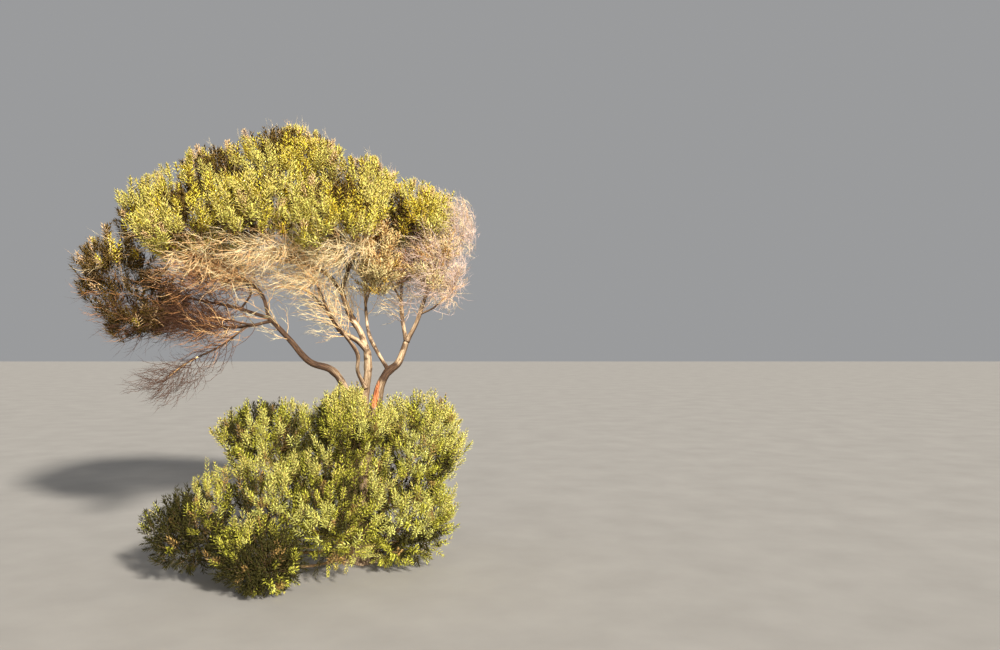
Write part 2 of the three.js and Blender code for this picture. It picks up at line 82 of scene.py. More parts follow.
# The wood: how finely it is cut up and melted together, up to what height its foot stays flat, and where its
# bark is torn or dark with painted shadow, with how far each shadowed place reaches
VOXEL = 0.007
SOFTENING = {"factor": 0.5, "rounds": 3}
FLAT_FOOT = 0.6 * VOXEL
MELT_STEP = 0.03
MELT_SIDES = 20
BOUGH_STEP = 0.018
BOUGH_SIDES = 12
FOOT_FLARE = {"share": 0.55, "reach": 2.5}
TEAR = {
    "from": (0.112, -0.05, 1.42), "to": (0.135, -0.055, 1.63), "width": 0.03, "depth": 0.011,
    "ragged": 0.3, "splinters": (0.35, 1),
}
# Painted shadow: the bark is darkened where the crown shades it, at these places and on the lee limbs
SHADOWED_BARK = [((0.24, -0.04, 1.72), 0.14), ((-0.13, -0.1, 2.6), 0.26), ((-0.5, -0.05, 1.85), 0.2)]
LEE_BARK_SHARE = 0.9

# The bark's relief: for each noise its size across and along the grain and its seed, and then how deep the
# first four go as a share of the limb's radius
GRAINS = {
    "folds": (0.045, 0.3, 1), "fissures": (0.016, 0.13, 2), "strands": (0.008, 0.09, 3),
    "knots": (0.09, 0.12, 4), "ragged": (0.012, 0.05, 6), "splinters": (0.009, 0.08, 7),
}
RELIEF = {"folds": 0.07, "fissures": 0.05, "strands": 0.02, "knots": 0.16}

# How much the place along the grain gains with height, and about how many points of the bark are matched
# with their limbs at a time
GRAIN_LIFT = 0.15
BLOCK = 8000

# From where to where each thing grows from 0 to 1: along X, in height, above the crown's upper outline, in
# depth, or in what its function names
BANDS = {
    "lee_end": (-1.35, -1.75), "lee_bare": (3.0, 2.5), "rise": (0.1, 0.55), "bare_tips": (-0.3, -0.1),
    "skirt_lee": (-0.35, -1.15), "skirt_low": (0.85, 0.3), "ground": (0.5, 0.1), "crown_lee": (-1.5, -1.95),
    "line": (-0.3, -0.05), "high": (0.35, 0.95), "inner": (0.15, 0.5), "hollow": (0.36, 0.6),
    "tone_lee": (-0.6, -1.3), "tone_low": (2.72, 2.3), "tone_hanging": (2.0, 1.85),
    "tone_inner": (0.15, 0.55), "tone_pink": (0.2, 0.5), "knots": (0.45, 0.9), "whole": (0.75, 1.15),
    "off_ground": (0.0, 0.02), "facing_down": (0.5, -0.6), "lee_bark": (0.0, -0.35), "shadowed_bark": (1.2, 0.5),
}

# Where twigs aim: the middles of the crown and the skirt, and depths and gaps as shares of a mass's space,
# but for the gap to the ground and the size of the clusters, which are lengths
CROWN_MIDDLE = np.array([-0.6, 0.0, 2.3])
SKIRT_MIDDLE = np.array([-0.15, 0.0, 0.5])
AIM_DEPTH = 1.04
AIM_SCATTER = 0.14
EDGE = 1.02
COARSE_EDGE = 1.1
FINE_EDGE = 1.5
SPACE_GAP = 0.05
FINE_GAP = -0.02
GROUND_GAP = 0.012
BLENDS = {"leafy": 2.45, "brown": 2.7, "bare": 2.7, "skirt": 2.9}
DEPTH_ROUNDS = 4
DEPTH_STEPS = (0.75, 1.3)
LEAST_DEPTH = 0.05
CLUSTER = {"size": 0.34, "depth": 0.5, "scatter": 0.42, "hollows": (0.42, 0.62), "filled_under": 0.6}

# The underside of the crown's leaves, which drops at the lee end, and the crown's upper outline from the
# front, as places and heights, with how far shoots scatter over it
LEAF_LINE = (2.78, 1.85)
LEAF_LINE_SCATTER = 0.14
LEAF_LINE_WAVES = {"height": 0.18, "width": 0.3}
LEE_BARE_SHARE = 0.4
CROWN_LINE = np.array([
    (-2.6, 2.55), (-2.51, 2.74), (-2.39, 2.84), (-2.22, 2.9), (-2.17, 3.06), (-2.08, 3.27), (-1.94, 3.41),
    (-1.75, 3.52), (-1.6, 3.66), (-1.31, 3.76), (-1.12, 3.79), (-0.98, 3.88), (-0.6, 3.99), (-0.4, 3.9),
    (-0.21, 3.76), (-0.03, 3.6), (0.07, 3.66), (0.36, 3.42), (0.6, 3.36), (0.89, 3.3), (1.03, 3.08),
])
CROWN_LINE_SCATTER = (-0.04, 0.04)

# As seen from the front: the view of the fork, which the skirt leaves free, and the strips that some masses
# are kept to, from one place to another, with half their width at each
FORK_VIEW = {"left": 0.06, "right": 0.25, "above": 1.43, "scatter": 0.06}
STRIPS = {
    "bare_hanging": {"from": (-1.2, -0.36, 1.9), "to": (-1.88, -0.35, 1.5), "widths": (0.1, 0.2)},
    "bare_stream": {"from": (-0.1, -0.37, 2.6), "to": (-1.15, -0.37, 2.5), "widths": (0.11, 0.13)},
    "brown": {"from": (0.2, -0.13, 2.98), "to": (0.15, -0.13, 2.42), "widths": (0.13, 0.2)},
    "bare_right_low": {"from": (0.8, -0.01, 2.74), "to": (0.72, -0.01, 2.3), "widths": (0.12, 0.08)},
    "skirt_far_left": {"from": (-0.9, -0.72, 0.66), "to": (-1.7, -0.72, 0.2), "widths": (0.34, 0.2)},
}

# How twigs grow from level to level: their stations and sides, the buds on them, how they bend and taper,
# the stems they start from, and how full each mass is
STATIONS = (9, 8, 5, 4)
SIDES = (5, 4, 3, 3)
FIRST_FINE_LEVEL = 2
BUDS = 7
BUDS_FROM = 0.2
BUD_TAPER = 0.6
REACH_BALANCE = 0.35
LIMB_BUDS_EDGE = 1.35
LIMB_BUDS_STEP = 3 * BOUGH_STEP
TWIG_BEND = {"start": 0.28, "aim": 0.26, "bow": 0.1}
TWIG_TAPER = 0.4
TWIG_TEST = 0.6
PARENT_SHARE = 0.62
STEM = {"start": 0.03, "lead": 0.45, "share": 0.96, "tip": 0.006, "sides": 8, "buds_from": 0.35}
SUCKER = {"radius": 0.017, "depth": 0.03, "sag": 0.16}
FULLNESS = {
    "top": 1.7, "top_left": 1.6, "top_right": 1.6, "right": 1.3, "upper_left": 1.2,
    "brown": 2.3, "bare_right": 0.85, "bare_right_tip": 0.6, "bare_right_low": 0.8, "bare_hanging": 0.22,
    "bare_low": 0.8, "bare_front": 0.85, "skirt_front": 1.2, "skirt_right": 1.1,
}

# Shoots and their leaves. A pair of values is mixed by chance, from the first to the second.
SHOOT_LENGTH = 0.13
SHOOT_LENGTHS = (0.75, 1.3)
SHOOT_FITS = (0.5, 0.75, 1.0)
SHOOT_RADIUS = 0.0016
SHOOT_EDGES = (0.97, 1.07)
SHOOT_GROUND_GAP = 3 * GROUND_GAP
SHOOT_RISE = 0.15
SHOOT_OUTWARD = 0.4
TURNS_PER_TWIG = 3
BOX_STRETCH = 1.3
LEADERS = {"share": 0.2, "longer": 1.5, "edge": 1.12}
RISES = (0.15, 1.0)
BARE_TIP_SHARES = (0.09, 0.45)
BARE_TIP_LENGTH = 0.14
DRY_SHARES = {"bare_right": 0.3, "bare_right_low": 0.03}
PAIRS = 9
PAIRS_FROM = 0.1
PAIRS_SPAN = 0.88
PAIR_AXIS = np.array([0.31, 0.87, 0.38])
PAIR_TURN_SCATTER = 0.5
OPEN_ANGLES = (0.95, 0.4)
OPEN_SCATTER = 0.35
LEAF_LENGTH = 0.049
LEAF_WIDTH = 0.0108
LEAF_BEND = 0.16
LEAF_LENGTHS = (0.82, 1.2)
LEAF_PROFILE = ([0, 0.3, 0.7, 1], [0.8, 1.05, 1, 0.6])
LEAF_GROWTH = 0.25
LEAF_RISE = 0.45
SKIRT_LEAF = 0.88
INNER_LEAF = 1.15
INNER_DEPTH = 0.76

# Bare twiglets with their spurs, how those of each mass drift, and the thin bare twigs on the open lengths
# of the boughs: from and to which share of the bough, and how many
TWIGLET_LENGTH = 0.22
TWIGLET_LENGTHS = (0.6, 1.25)
TWIGLET_RADIUS = 0.0019
TWIGLET_EDGES = (0.9, 1.3)
TWIGLET_BENDS = (-0.25, 0.35)
TWIGLET_WIND = 0.25
TWIGLET_TAPER = np.array([1, 0.7, 0])
SPURS = (0.25, 0.5, 0.75)
SPUR_LENGTHS = (0.35, 0.7)
SPUR_SPREAD = 0.6
SPUR_WIND = 0.15
SPUR_TAPER = np.array([0.62, 0])
STREAM = 0.6 * WIND + 0.22 * UP
DRIFTS = {
    "bare_hanging": np.array([-0.65, 0.0, -0.6]),
    "bare_right_tip": np.array([0.2, 0.0, 0.4]),
    "bare_right": np.array([0.0, 0.0, 0.45]),
    "bare_right_low": np.array([0.15, 0.0, 0.2]),
}
SIDE_TWIGS = {
    "left_limb": (0.78, 1.0, 8), "main_left": (0.3, 1.0, 26), "main_up": (0.35, 1.0, 30),
    "loop_stem": (0.45, 1.0, 24), "right_up": (0.25, 0.9, 36), "right_up_left": (0.15, 0.8, 44),
    "right_mid_up": (0.4, 0.75, 10), "left_far": (0.05, 0.7, 14), "left_out": (0.1, 0.9, 14),
    "left_high": (0.0, 0.6, 10), "hanging_bough": (0.15, 0.8, 12), "main_up_left": (0.0, 0.6, 10),
    "right_low_bough": (0.2, 1.0, 6),
}
SIDE_TWIG_LENGTH = 0.29
SIDE_TWIG_LENGTHS = (0.6, 1.3)
SIDE_TWIGLET_LENGTHS = (0.4, 0.9)
SIDE_TWIG_RADIUS = 0.0032
SIDE_TWIG_LEAD = 0.5
SIDE_TWIG_WIND = 0.5
SIDE_TWIG_LIFT = 0.22
DROOPING = {"hanging_bough": -0.5}

# How much each thing darkens the leaves, in tints, and the bare twigs, in tones: mostly painted shade, and
# for the twigs partly weathered wood, while patches and chance scatter them at random. A minus makes them
# paler, as painted light. A spray faces out of its mass and out of its plant by the shares named, and the
# crown's dark lee end, which is painted shade, starts farther out the higher it is.
SKIRT_SUN = np.array([0.46, -0.78, 0.42])
CROWN_SUN = np.array([0.42, -0.88, 0.2])
PAINTED_SHADES = {
    "base": 0.2, "sun": -1.1, "lee": 3.3, "ground": 1.7, "inner": 2.1, "line": -0.5, "hollow": 1.9,
    "cluster": -1.9, "chance": 1.8, "crown_high": 1.5, "crown_low": -0.5, "skirt_high": -0.5,
    "crown_patch": 0.9, "skirt_patch": 0.4,
}
PATCH_SIZE = 0.42
FACING = {"mass": 0.4, "plant": 0.6}
LEE_EDGE = {"slope": 0.9, "height": 2.6}
BROWN_SHARES = {"base": 0.04, "lee": 0.05, "line": 0.24}
DEAD_SHADES = {"base": -1.05, "lee_low": 2.3, "lee": 0.7, "hanging": 1.4, "inner": 0.9, "chance": 2.2}
PINK_SHARE = 0.75

Limb = namedtuple("Limb", "foot tip through")
Mass = namedtuple("Mass", "root centre radii kind")
Kind = namedtuple("Kind", "counts reaches radii bow scatter sweep")

# The limbs, from the thickest to the thinnest: radius at the foot and at the tip, and the points that the
# centre line of each passes through, the first of them inside the wood that it grows from.
LIMBS = {
    "left_limb": Limb(0.047, 0.019, [(-0.066, -0.008, 1.04), (-0.12, -0.04, 1.48),
        (-0.246, -0.12, 1.723), (-0.434, -0.2, 1.806), (-0.6, -0.285, 2.01), (-0.775, -0.35, 2.219)]),
    "main_stem": Limb(0.046, 0.034, [(0, 0.01, 1.04), (0.009, 0.005, 1.436), (0.05, 0, 1.709),
        (0.041, 0.005, 1.93)]),
    "right_stem": Limb(0.058, 0.026, [(0.056, 0, 1.04), (0.125, -0.005, 1.42), (0.165, -0.005, 1.59),
        (0.225, 0.005, 1.705), (0.317, 0.03, 1.785), (0.365, 0.05, 1.9), (0.399, 0.05, 2.01)]),
    "main_left": Limb(0.027, 0.013, [(0.041, 0, 1.9), (-0.04, -0.03, 1.99), (-0.168, -0.12, 2.075),
        (-0.281, -0.22, 2.26), (-0.42, -0.3, 2.42)]),
    "main_up": Limb(0.03, 0.021, [(0.041, 0.008, 1.895), (-0.022, 0.04, 2.063), (-0.139, 0.07, 2.26),
        (-0.213, 0.08, 2.48)]),
    "loop_stem": Limb(0.018, 0.01, [(0.032, -0.025, 1.56), (-0.03, -0.082, 1.72), (-0.026, -0.11, 1.87),
        (-0.13, -0.24, 2.06), (-0.25, -0.33, 2.27), (-0.33, -0.4, 2.48)]),
    "right_mid_up": Limb(0.017, 0.01, [(0.24, 0.005, 1.715), (0.114, 0.08, 1.907), (0.035, 0.15, 2.06),
        (-0.006, 0.22, 2.345), (-0.01, 0.23, 2.65), (0.05, 0.13, 2.98)]),
    "right_up": Limb(0.02, 0.009, [(0.395, 0.05, 1.985), (0.481, 0.05, 2.146), (0.582, 0.05, 2.43),
        (0.714, 0.02, 2.672), (0.78, 0.01, 2.85)]),
    "right_up_left": Limb(0.018, 0.009, [(0.393, 0.05, 1.985), (0.352, 0.085, 2.2), (0.345, 0.1, 2.48),
        (0.385, 0.08, 2.7), (0.45, 0.04, 2.93)]),
    "main_up_left": Limb(0.017, 0.009, [(-0.205, 0.078, 2.44), (-0.3, -0.02, 2.58), (-0.5, -0.1, 2.68),
        (-0.8, -0.11, 2.74), (-1.13, -0.06, 2.96)]),
    "main_up_top": Limb(0.018, 0.009, [(-0.208, 0.08, 2.45), (-0.15, 0.1, 2.64), (-0.085, 0.1, 2.84),
        (-0.19, 0.06, 3.08), (-0.4, 0.03, 3.25)]),
    "left_high": Limb(0.015, 0.008, [(-0.76, -0.345, 2.2), (-0.83, -0.33, 2.4), (-1.12, -0.21, 2.6),
        (-1.6, -0.03, 2.8)]),
    "left_far": Limb(0.014, 0.007, [(-0.752, -0.342, 2.19), (-1.08, -0.33, 2.29), (-1.5, -0.2, 2.37),
        (-1.9, -0.08, 2.47)]),
    "left_out": Limb(0.013, 0.007, [(-0.735, -0.335, 2.168), (-0.96, -0.34, 2.12), (-1.25, -0.3, 2.12),
        (-1.6, -0.22, 2.16)]),
    "hanging_bough": Limb(0.009, 0.006, [(-0.96, -0.34, 2.12), (-1.15, -0.38, 1.96),
        (-1.38, -0.37, 1.85)]),
    "low_bough": Limb(0.009, 0.006, [(-0.9, -0.338, 2.133), (-0.99, -0.43, 2.15), (-1.08, -0.46, 2.18)]),
    "under_bough": Limb(0.009, 0.007, [(-1.01, -0.332, 2.268), (-0.9, -0.4, 2.42), (-0.96, -0.45, 2.52)]),
    "front_left_bough": Limb(0.01, 0.007, [(-1.06, -0.24, 2.575), (-1.15, -0.45, 2.67),
        (-1.23, -0.62, 2.76)]),
    "front_centre_bough": Limb(0.01, 0.007, [(-0.5, -0.1, 2.68), (-0.6, -0.38, 2.73),
        (-0.69, -0.6, 2.8)]),
    "front_right_bough": Limb(0.011, 0.007, [(-0.145, 0.1, 2.655), (-0.13, -0.22, 2.73),
        (-0.11, -0.52, 2.8)]),
    "back_left_bough": Limb(0.011, 0.007, [(-1.12, -0.21, 2.6), (-1.25, 0.25, 2.64), (-1.4, 0.56, 2.7)]),
    "back_centre_bough": Limb(0.013, 0.008, [(-0.19, 0.075, 2.4), (-0.36, 0.35, 2.59),
        (-0.54, 0.62, 2.8)]),
    "back_right_bough": Limb(0.011, 0.007, [(-0.006, 0.22, 2.345), (0.05, 0.43, 2.6), (0.08, 0.6, 2.78)]),
    "brown_bough": Limb(0.009, 0.006, [(0.348, 0.09, 2.33), (0.3, -0.03, 2.46), (0.265, -0.11, 2.54)]),
    "right_side_bough": Limb(0.009, 0.006, [(0.556, 0.05, 2.355), (0.6, -0.03, 2.48),
        (0.61, -0.06, 2.56)]),
    "right_low_bough": Limb(0.009, 0.006, [(0.515, 0.05, 2.235), (0.64, 0.02, 2.29),
        (0.74, -0.01, 2.37)]),
}

# The masses: the limb whose tip each grows from, or the height on the trunk, then the middle and radii of
# its space, and its kind
MASSES = {
    "top": Mass("main_up_top", (-0.61, 0, 3.5), (0.52, 0.48, 0.47), "leafy"),
    "top_right": Mass("right_mid_up", (0.09, 0.05, 3.29), (0.42, 0.45, 0.41), "leafy"),
    "right": Mass("right_up_left", (0.53, 0, 3.12), (0.37, 0.42, 0.31), "leafy"),
    "top_left": Mass("main_up_left", (-1.28, 0.05, 3.33), (0.48, 0.48, 0.43), "leafy"),
    "upper_left": Mass("left_high", (-1.8, 0, 3.03), (0.43, 0.5, 0.43), "leafy"),
    "left_tip": Mass("left_far", (-2.21, -0.05, 2.6), (0.39, 0.42, 0.34), "leafy"),
    "left_low": Mass("left_out", (-1.93, -0.15, 2.23), (0.4, 0.42, 0.31), "leafy"),
    "front_left": Mass("front_left_bough", (-1.29, -0.73, 2.89), (0.48, 0.42, 0.38), "leafy"),
    "front_centre": Mass("front_centre_bough", (-0.7, -0.75, 2.95), (0.42, 0.42, 0.38), "leafy"),
    "front_right": Mass("front_right_bough", (-0.09, -0.68, 2.95), (0.42, 0.4, 0.35), "leafy"),
    "back_left": Mass("back_left_bough", (-1.48, 0.78, 2.85), (0.5, 0.42, 0.43), "leafy"),
    "back_centre": Mass("back_centre_bough", (-0.65, 0.85, 3), (0.48, 0.42, 0.45), "leafy"),
    "back_right": Mass("back_right_bough", (0.12, 0.76, 2.95), (0.44, 0.42, 0.4), "leafy"),
    "brown": Mass("brown_bough", (0.21, -0.13, 2.68), (0.3, 0.3, 0.33), "brown"),
    "bare_right_tip": Mass("right_up", (0.85, 0, 3.02), (0.21, 0.26, 0.27), "bare"),
    "bare_right": Mass("right_side_bough", (0.62, -0.06, 2.69), (0.28, 0.3, 0.32), "bare"),
    "bare_right_low": Mass("right_low_bough", (0.85, -0.01, 2.5), (0.18, 0.22, 0.25), "bare"),
    "bare_stream": Mass("main_left", (-0.72, -0.37, 2.44), (0.46, 0.32, 0.26), "bare"),
    "bare_front": Mass("loop_stem", (-0.52, -0.45, 2.66), (0.42, 0.3, 0.26), "bare"),
    "bare_left": Mass("under_bough", (-1.25, -0.43, 2.52), (0.46, 0.36, 0.28), "bare"),
    "bare_low": Mass("low_bough", (-1.34, -0.43, 2.18), (0.37, 0.32, 0.23), "bare"),
    "bare_hanging": Mass("hanging_bough", (-1.64, -0.35, 1.67), (0.38, 0.3, 0.25), "bare"),
    "skirt_right": Mass(0.32, (0.52, -0.1, 1.02), (0.47, 0.48, 0.5), "skirt"),
    "skirt_right_low": Mass(0.16, (0.45, -0.35, 0.43), (0.43, 0.43, 0.4), "skirt"),
    "skirt_front": Mass(0.38, (-0.04, -0.45, 1.14), (0.4, 0.36, 0.43), "skirt"),
    "skirt_front_low": Mass(0.2, (-0.11, -0.8, 0.6), (0.43, 0.4, 0.43), "skirt"),
    "skirt_left": Mass(0.34, (-0.83, -0.2, 1.11), (0.5, 0.45, 0.35), "skirt"),
    "skirt_left_low": Mass(0.22, (-0.64, -0.68, 0.6), (0.45, 0.42, 0.4), "skirt"),
    "skirt_foot": Mass(0.11, (-0.62, -1.1, 0.28), (0.34, 0.3, 0.27), "skirt"),
    "skirt_far_left": Mass(0.13, (-1.25, -0.72, 0.43), (0.46, 0.4, 0.35), "skirt"),
    "skirt_back_left": Mass(0.26, (-0.52, 0.48, 0.72), (0.52, 0.43, 0.52), "skirt"),
    "skirt_back_right": Mass(0.24, (0.34, 0.54, 0.72), (0.5, 0.43, 0.52), "skirt"),
}
for name, mass in MASSES.items():
    MASSES[name] = mass._replace(centre=np.array(mass.centre, float), radii=np.array(mass.radii))
CROWN = [name for name, mass in MASSES.items() if mass.kind in ("leafy", "brown")]
SKIRT = [name for name, mass in MASSES.items() if mass.kind == "skirt"]
BARE = [name for name, mass in MASSES.items() if mass.kind == "bare"]

# The spaces of the masses as arrays, in the order of their seeds, those that each kind grows among, and the
# box of the solids
CENTRES = np.array([mass.centre for mass in MASSES.values()], float)
RADII = np.array([mass.radii for mass in MASSES.values()], float)
SEEDS = {name: seed for seed, name in enumerate(MASSES)}
NEIGHBOURS = {"leafy": CROWN, "brown": CROWN + BARE, "bare": CROWN + BARE, "skirt": SKIRT}
BLENDED = {kind: [SEEDS[name] for name in names] for kind, names in NEIGHBOURS.items()}
BOX_LOW, BOX_HIGH = np.array(CAD_BOX[0]), np.array(CAD_BOX[1])

# Twigs at each of four levels, how far out they end, how thick they are at their feet, how they bow, how
# widely the depth of the finer ones is scattered, and how far ahead of its bud each finer one ends
LIVE_RADII = (0.008, 0.005, 0.0036, 0.0026)
BARE_RADII = (0.0085, 0.006, 0.0042, 0.0028)
KINDS = {
    "leafy": Kind((4, 7, 28, 190), (0.4, 0.62, 0.5, 0.8), LIVE_RADII, WIND, 0.25, 0.05 * UP),
    "brown": Kind((4, 9, 20, 44), (0.45, 0.66, 0.7, 0.9), LIVE_RADII, WIND, 0.5, 0.1 * UP),
    "bare": Kind((6, 14, 70, 180), (0.62, 0.97, 0.9, 0.96), BARE_RADII, WIND, 0.8, 0.13 * WIND),
    "skirt": Kind((4, 7, 28, 178), (0.4, 0.6, 0.5, 0.8), LIVE_RADII, UP, 0.25, 0.05 * UP),
}

# Where along its twig each shoot or twiglet stands, and how far it leans to the side
LEAFY_SHARES = (1.0, 0.84, 0.68, 0.5)
LEAFY_LEANS = (0.12, 0.6)
BARE_SHARES = (0.95, 0.75, 0.55, 0.35)
BARE_LEANS = (0.5, 0.95)

# The limbs in one skin with the trunk, the others, and the pieces that the leaves are joined into
MELTED_LIMBS = ["left_limb", "main_stem", "right_stem", "main_left", "main_up"]
THIN_LIMBS = [name for name in LIMBS if name not in MELTED_LIMBS]
LEAF_PIECES = {
    "crown_leaves_top": ("top", "top_left"),
    "crown_leaves_right": ("top_right", "right"),
    "crown_leaves_lee": ("upper_left", "left_tip", "left_low"),
    "crown_leaves_front": ("front_left", "front_centre", "front_right"),
    "crown_leaves_back": ("back_left", "back_centre", "back_right"),
    "brown_leaves": ("brown", "bare_right", "bare_right_low"),
    "skirt_leaves_right": ("skirt_right", "skirt_right_low"),
    "skirt_leaves_front": ("skirt_front", "skirt_front_low", "skirt_foot"),
    "skirt_leaves_left": ("skirt_left", "skirt_left_low", "skirt_far_left"),
    "skirt_leaves_back": ("skirt_back_left", "skirt_back_right"),
}

# A leaf lies along +Y with its upper face towards +Z: a lance-shaped outline of six points that arches
# down to the tip. Its upper four triangles follow the arch, and its lower four meet in a straight keel.
LEAF_POINTS = np.array([(0, 0), (0.43, 0.27), (-0.43, 0.27), (0.46, 0.62), (-0.46, 0.62), (0, 1)])
LEAF_FACES = np.array(
    [(0, 1, 2), (2, 1, 3), (2, 3, 4), (4, 3, 5), (0, 3, 1), (0, 5, 3), (0, 4, 5), (0, 2, 4)]
)

# A leaf inside the crown or the skirt has only its widest two points between its foot and its tip.
INNER_LEAF_POINTS = np.array([(0, 0), (0.5, 0.45), (-0.5, 0.45), (0, 1)])
INNER_LEAF_FACES = np.array([(0, 1, 2), (2, 1, 3), (0, 3, 1), (0, 2, 3)])

# Colours as they look in daylight, from 0 to 255: tints from pale to dark, with a brown one last, or for bare
# twigs a pinkish one, and tones from dark to pale, each with its place in the noise. The pale and dark tints
# of the leaves are painted light and painted shade over one leaf colour, and the dark twig tones are painted
# shade
# and partly weathered wood. For each tint of the upper faces of leaves follows the finish of their lower
# ones:
# pale (5), or a tint where it is dark or brown, so that painted shade covers both faces of a dark spray.
CROWN_TINTS = [(255, 232, 116), (252, 216, 76), (202, 172, 52), (98, 76, 24), (244, 194, 142)]
SKIRT_TINTS = [(238, 238, 124), (216, 214, 82), (158, 154, 52), (68, 64, 22), (178, 144, 84)]
BROWN_TINTS = [(255, 216, 154), (254, 202, 134), (236, 172, 104), (164, 112, 64), (218, 184, 88)]
UNDERSIDES = np.array([5, 5, 1, 3, 4])
UNDERSIDE = (212, 194, 108)
BROWN_UNDERSIDE = (250, 200, 144)
LIVE_TWIG = (140, 112, 78)
DEAD_TONES = [(255, 230, 180), (255, 206, 146), (186, 132, 84), (84, 54, 36), (226, 200, 186)]
PINK_TONE = BROWN_TINT = 4
BARK_TONES = [(0.38, (88, 60, 38)), (0.5, (178, 146, 110)), (0.62, (244, 222, 188))]
WEATHERED_TONES = [(0.42, (92, 66, 46)), (0.56, (232, 202, 164))]
# Damp and painted shade on the bark: dark undersides, lee limbs and shadowed places
DAMP_AND_SHADE_TONES = [(0.4, (46, 32, 23)), (0.7, (104, 76, 54))]
TORN_TONES = [(0.34, (112, 60, 38)), (0.48, (190, 104, 62)), (0.64, (232, 176, 126))]
FLOOR_TONES = [(0.3, (148, 145, 141)), (0.7, (157, 154, 150))]


def unit(v):
    """Vectors made one long."""
    return v / np.maximum(np.linalg.norm(v, axis=-1, keepdims=True), 1e-12)


def mix(a, b, share):
    """From a to b by a share."""
    return a + (b - a) * share


def smooth_step(x, low, high):
    """From 0 at low to 1 at high, level at both ends. Low may be the larger of the two."""
    t = np.clip((x - low) / (high - low), 0, 1)
    return t * t * (3 - 2 * t)


def chance(a, b=0.0, c=0.0):
    """A number from 0 to 1 that looks random: what is left of a large multiple of a sine of the keys."""
    x = np.sin(a * 12.9898 + b * 78.233 + c * 37.719) * 43758.5453
    return x - np.floor(x)


def band(x, name):
    """From 0 to 1 over the band that goes by a name."""
    return smooth_step(x, *BANDS[name])


def draw(rows, seed, key):
    """One chance for each row."""
    return chance(np.arange(len(rows)), seed, key)


def lattice_noise(points, seed=0):
    """Smooth noise from -1 to 1: chances at the corners of a unit lattice, blended by a smooth step."""
    cell = np.floor(points)
    share = smooth_step(points - cell, 0, 1)
    total = 0
    for corner in itertools.product((0, 1), repeat=3):
        weight = np.prod(np.where(corner, share, 1 - share), axis=-1)
        key = cell + corner
        total = total + weight * chance(key[..., 0] + 0.31 * seed, key[..., 1], key[..., 2])
    return 2 * total - 1


def grain_noise(points, name):
    """Smooth noise drawn out along the third axis, by the sizes and the seed that go by its name."""
    across, along, seed = GRAINS[name]
    return lattice_noise(points / np.array([across, across, along]), seed)


def smooth_path(points, fine=24):
    """A smooth curve through all its points: each run is a cubic whose end slopes come from its neighbours,
    weighted by the square roots of the distances between the points."""
    p = np.asarray(points, float)
    p = np.vstack([2 * p[0] - p[1], p, 2 * p[-1] - p[-2]])
    gap = np.sqrt(np.linalg.norm(np.diff(p, axis=0), axis=1))[:, None]
    before, here, after = gap[:-2], gap[1:-1], gap[2:]
    a, b, c, d = p[:-3], p[1:-2], p[2:-1], p[3:]
    leave = ((b - a) / before - (c - a) / (before + here) + (c - b) / here) * here
    arrive = ((c - b) / here - (d - b) / (here + after) + (d - c) / after) * here
    t = np.arange(fine)[None, :, None] / fine
    b, c, leave, arrive = b[:, None], c[:, None], leave[:, None], arrive[:, None]
    runs = (2 * t**3 - 3 * t**2 + 1) * b + (t**3 - 2 * t**2 + t) * leave
    runs = runs + (3 * t**2 - 2 * t**3) * c + (t**3 - t**2) * arrive
    return np.vstack([runs.reshape(-1, 3), p[-2]])


def even_path(path, stations):
    """The same path with its points at even distances along it."""
    run = np.linalg.norm(np.diff(path, axis=0), axis=1)
    far = np.concatenate([[0], np.cumsum(run)])
    at = np.linspace(0, far[-1], stations)
    return np.stack([np.interp(at, far, path[:, k]) for k in range(3)], axis=1)


def bent_paths(foot, middle, aim, stations):
    """Quadratic curves from foot to aim, drawn towards the middle point."""
    t = np.linspace(0, 1, stations)[None, :, None]
    foot, middle, aim = foot[:, None], middle[:, None], aim[:, None]
    return (1 - t) ** 2 * foot + 2 * t * (1 - t) * middle + t**2 * aim


def along_paths(paths, shares):
    """Points and directions at shares of each path, counting its stations as evenly apart."""
    spot = np.asarray(shares) * (paths.shape[1] - 1)
    run = np.minimum(spot.astype(int), paths.shape[1] - 2)
    start, end = paths[:, run], paths[:, run + 1]
    return start + (end - start) * (spot - run)[:, None], unit(end - start)


def spread_round(tangent, toward, turn):
    """Directions square to tangents: turned round them, from the side square to another direction."""
    side = unit(np.cross(tangent, toward))
    turn = turn[..., None]
    return side * np.cos(turn) + np.cross(tangent, side) * np.sin(turn)


class Pile:
    """Shapes piled up as whole arrays, which become one joined piece."""

    def __init__(self):
        self.vertices, self.triangles, self.finishes, self.size = [], [], [], 0

    def add(self, vertices, template, finishes=0):
        """Adds n shapes of k vertices, each with the template's triangles and a finish for each of them."""
        count, corners = vertices.shape[:2]
        starts = self.size + corners * np.arange(count)
        self.vertices.append(vertices.reshape(-1, 3))
        self.triangles.append((template[None] + starts[:, None, None]).reshape(-1, 3))
        self.finishes.append(np.broadcast_to(finishes, (count, len(template))).reshape(-1))
        self.size += count * corners

    def mesh(self, name):
        """The pile as a mesh."""
        vertices, triangles = np.vstack(self.vertices), np.vstack(self.triangles)
        mesh = bpy.data.meshes.new(name)
        mesh.vertices.add(len(vertices))
        mesh.vertices.foreach_set("co", vertices.astype(np.float32).ravel())
        mesh.loops.add(triangles.size)
        mesh.loops.foreach_set("vertex_index", triangles.astype(np.int32).ravel())
        mesh.polygons.add(len(triangles))
        mesh.polygons.foreach_set("loop_start", np.arange(0, triangles.size, 3, dtype=np.int32))
        mesh.polygons.foreach_set("material_index", np.concatenate(self.finishes).astype(np.int32))
        mesh.update(calc_edges=True)
        return mesh


def placed(name, data):
    """A new object of the scene that shows a mesh, a lamp or a camera."""
    piece = bpy.data.objects.new(name, data)
    bpy.context.scene.collection.objects.link(piece)
    return piece


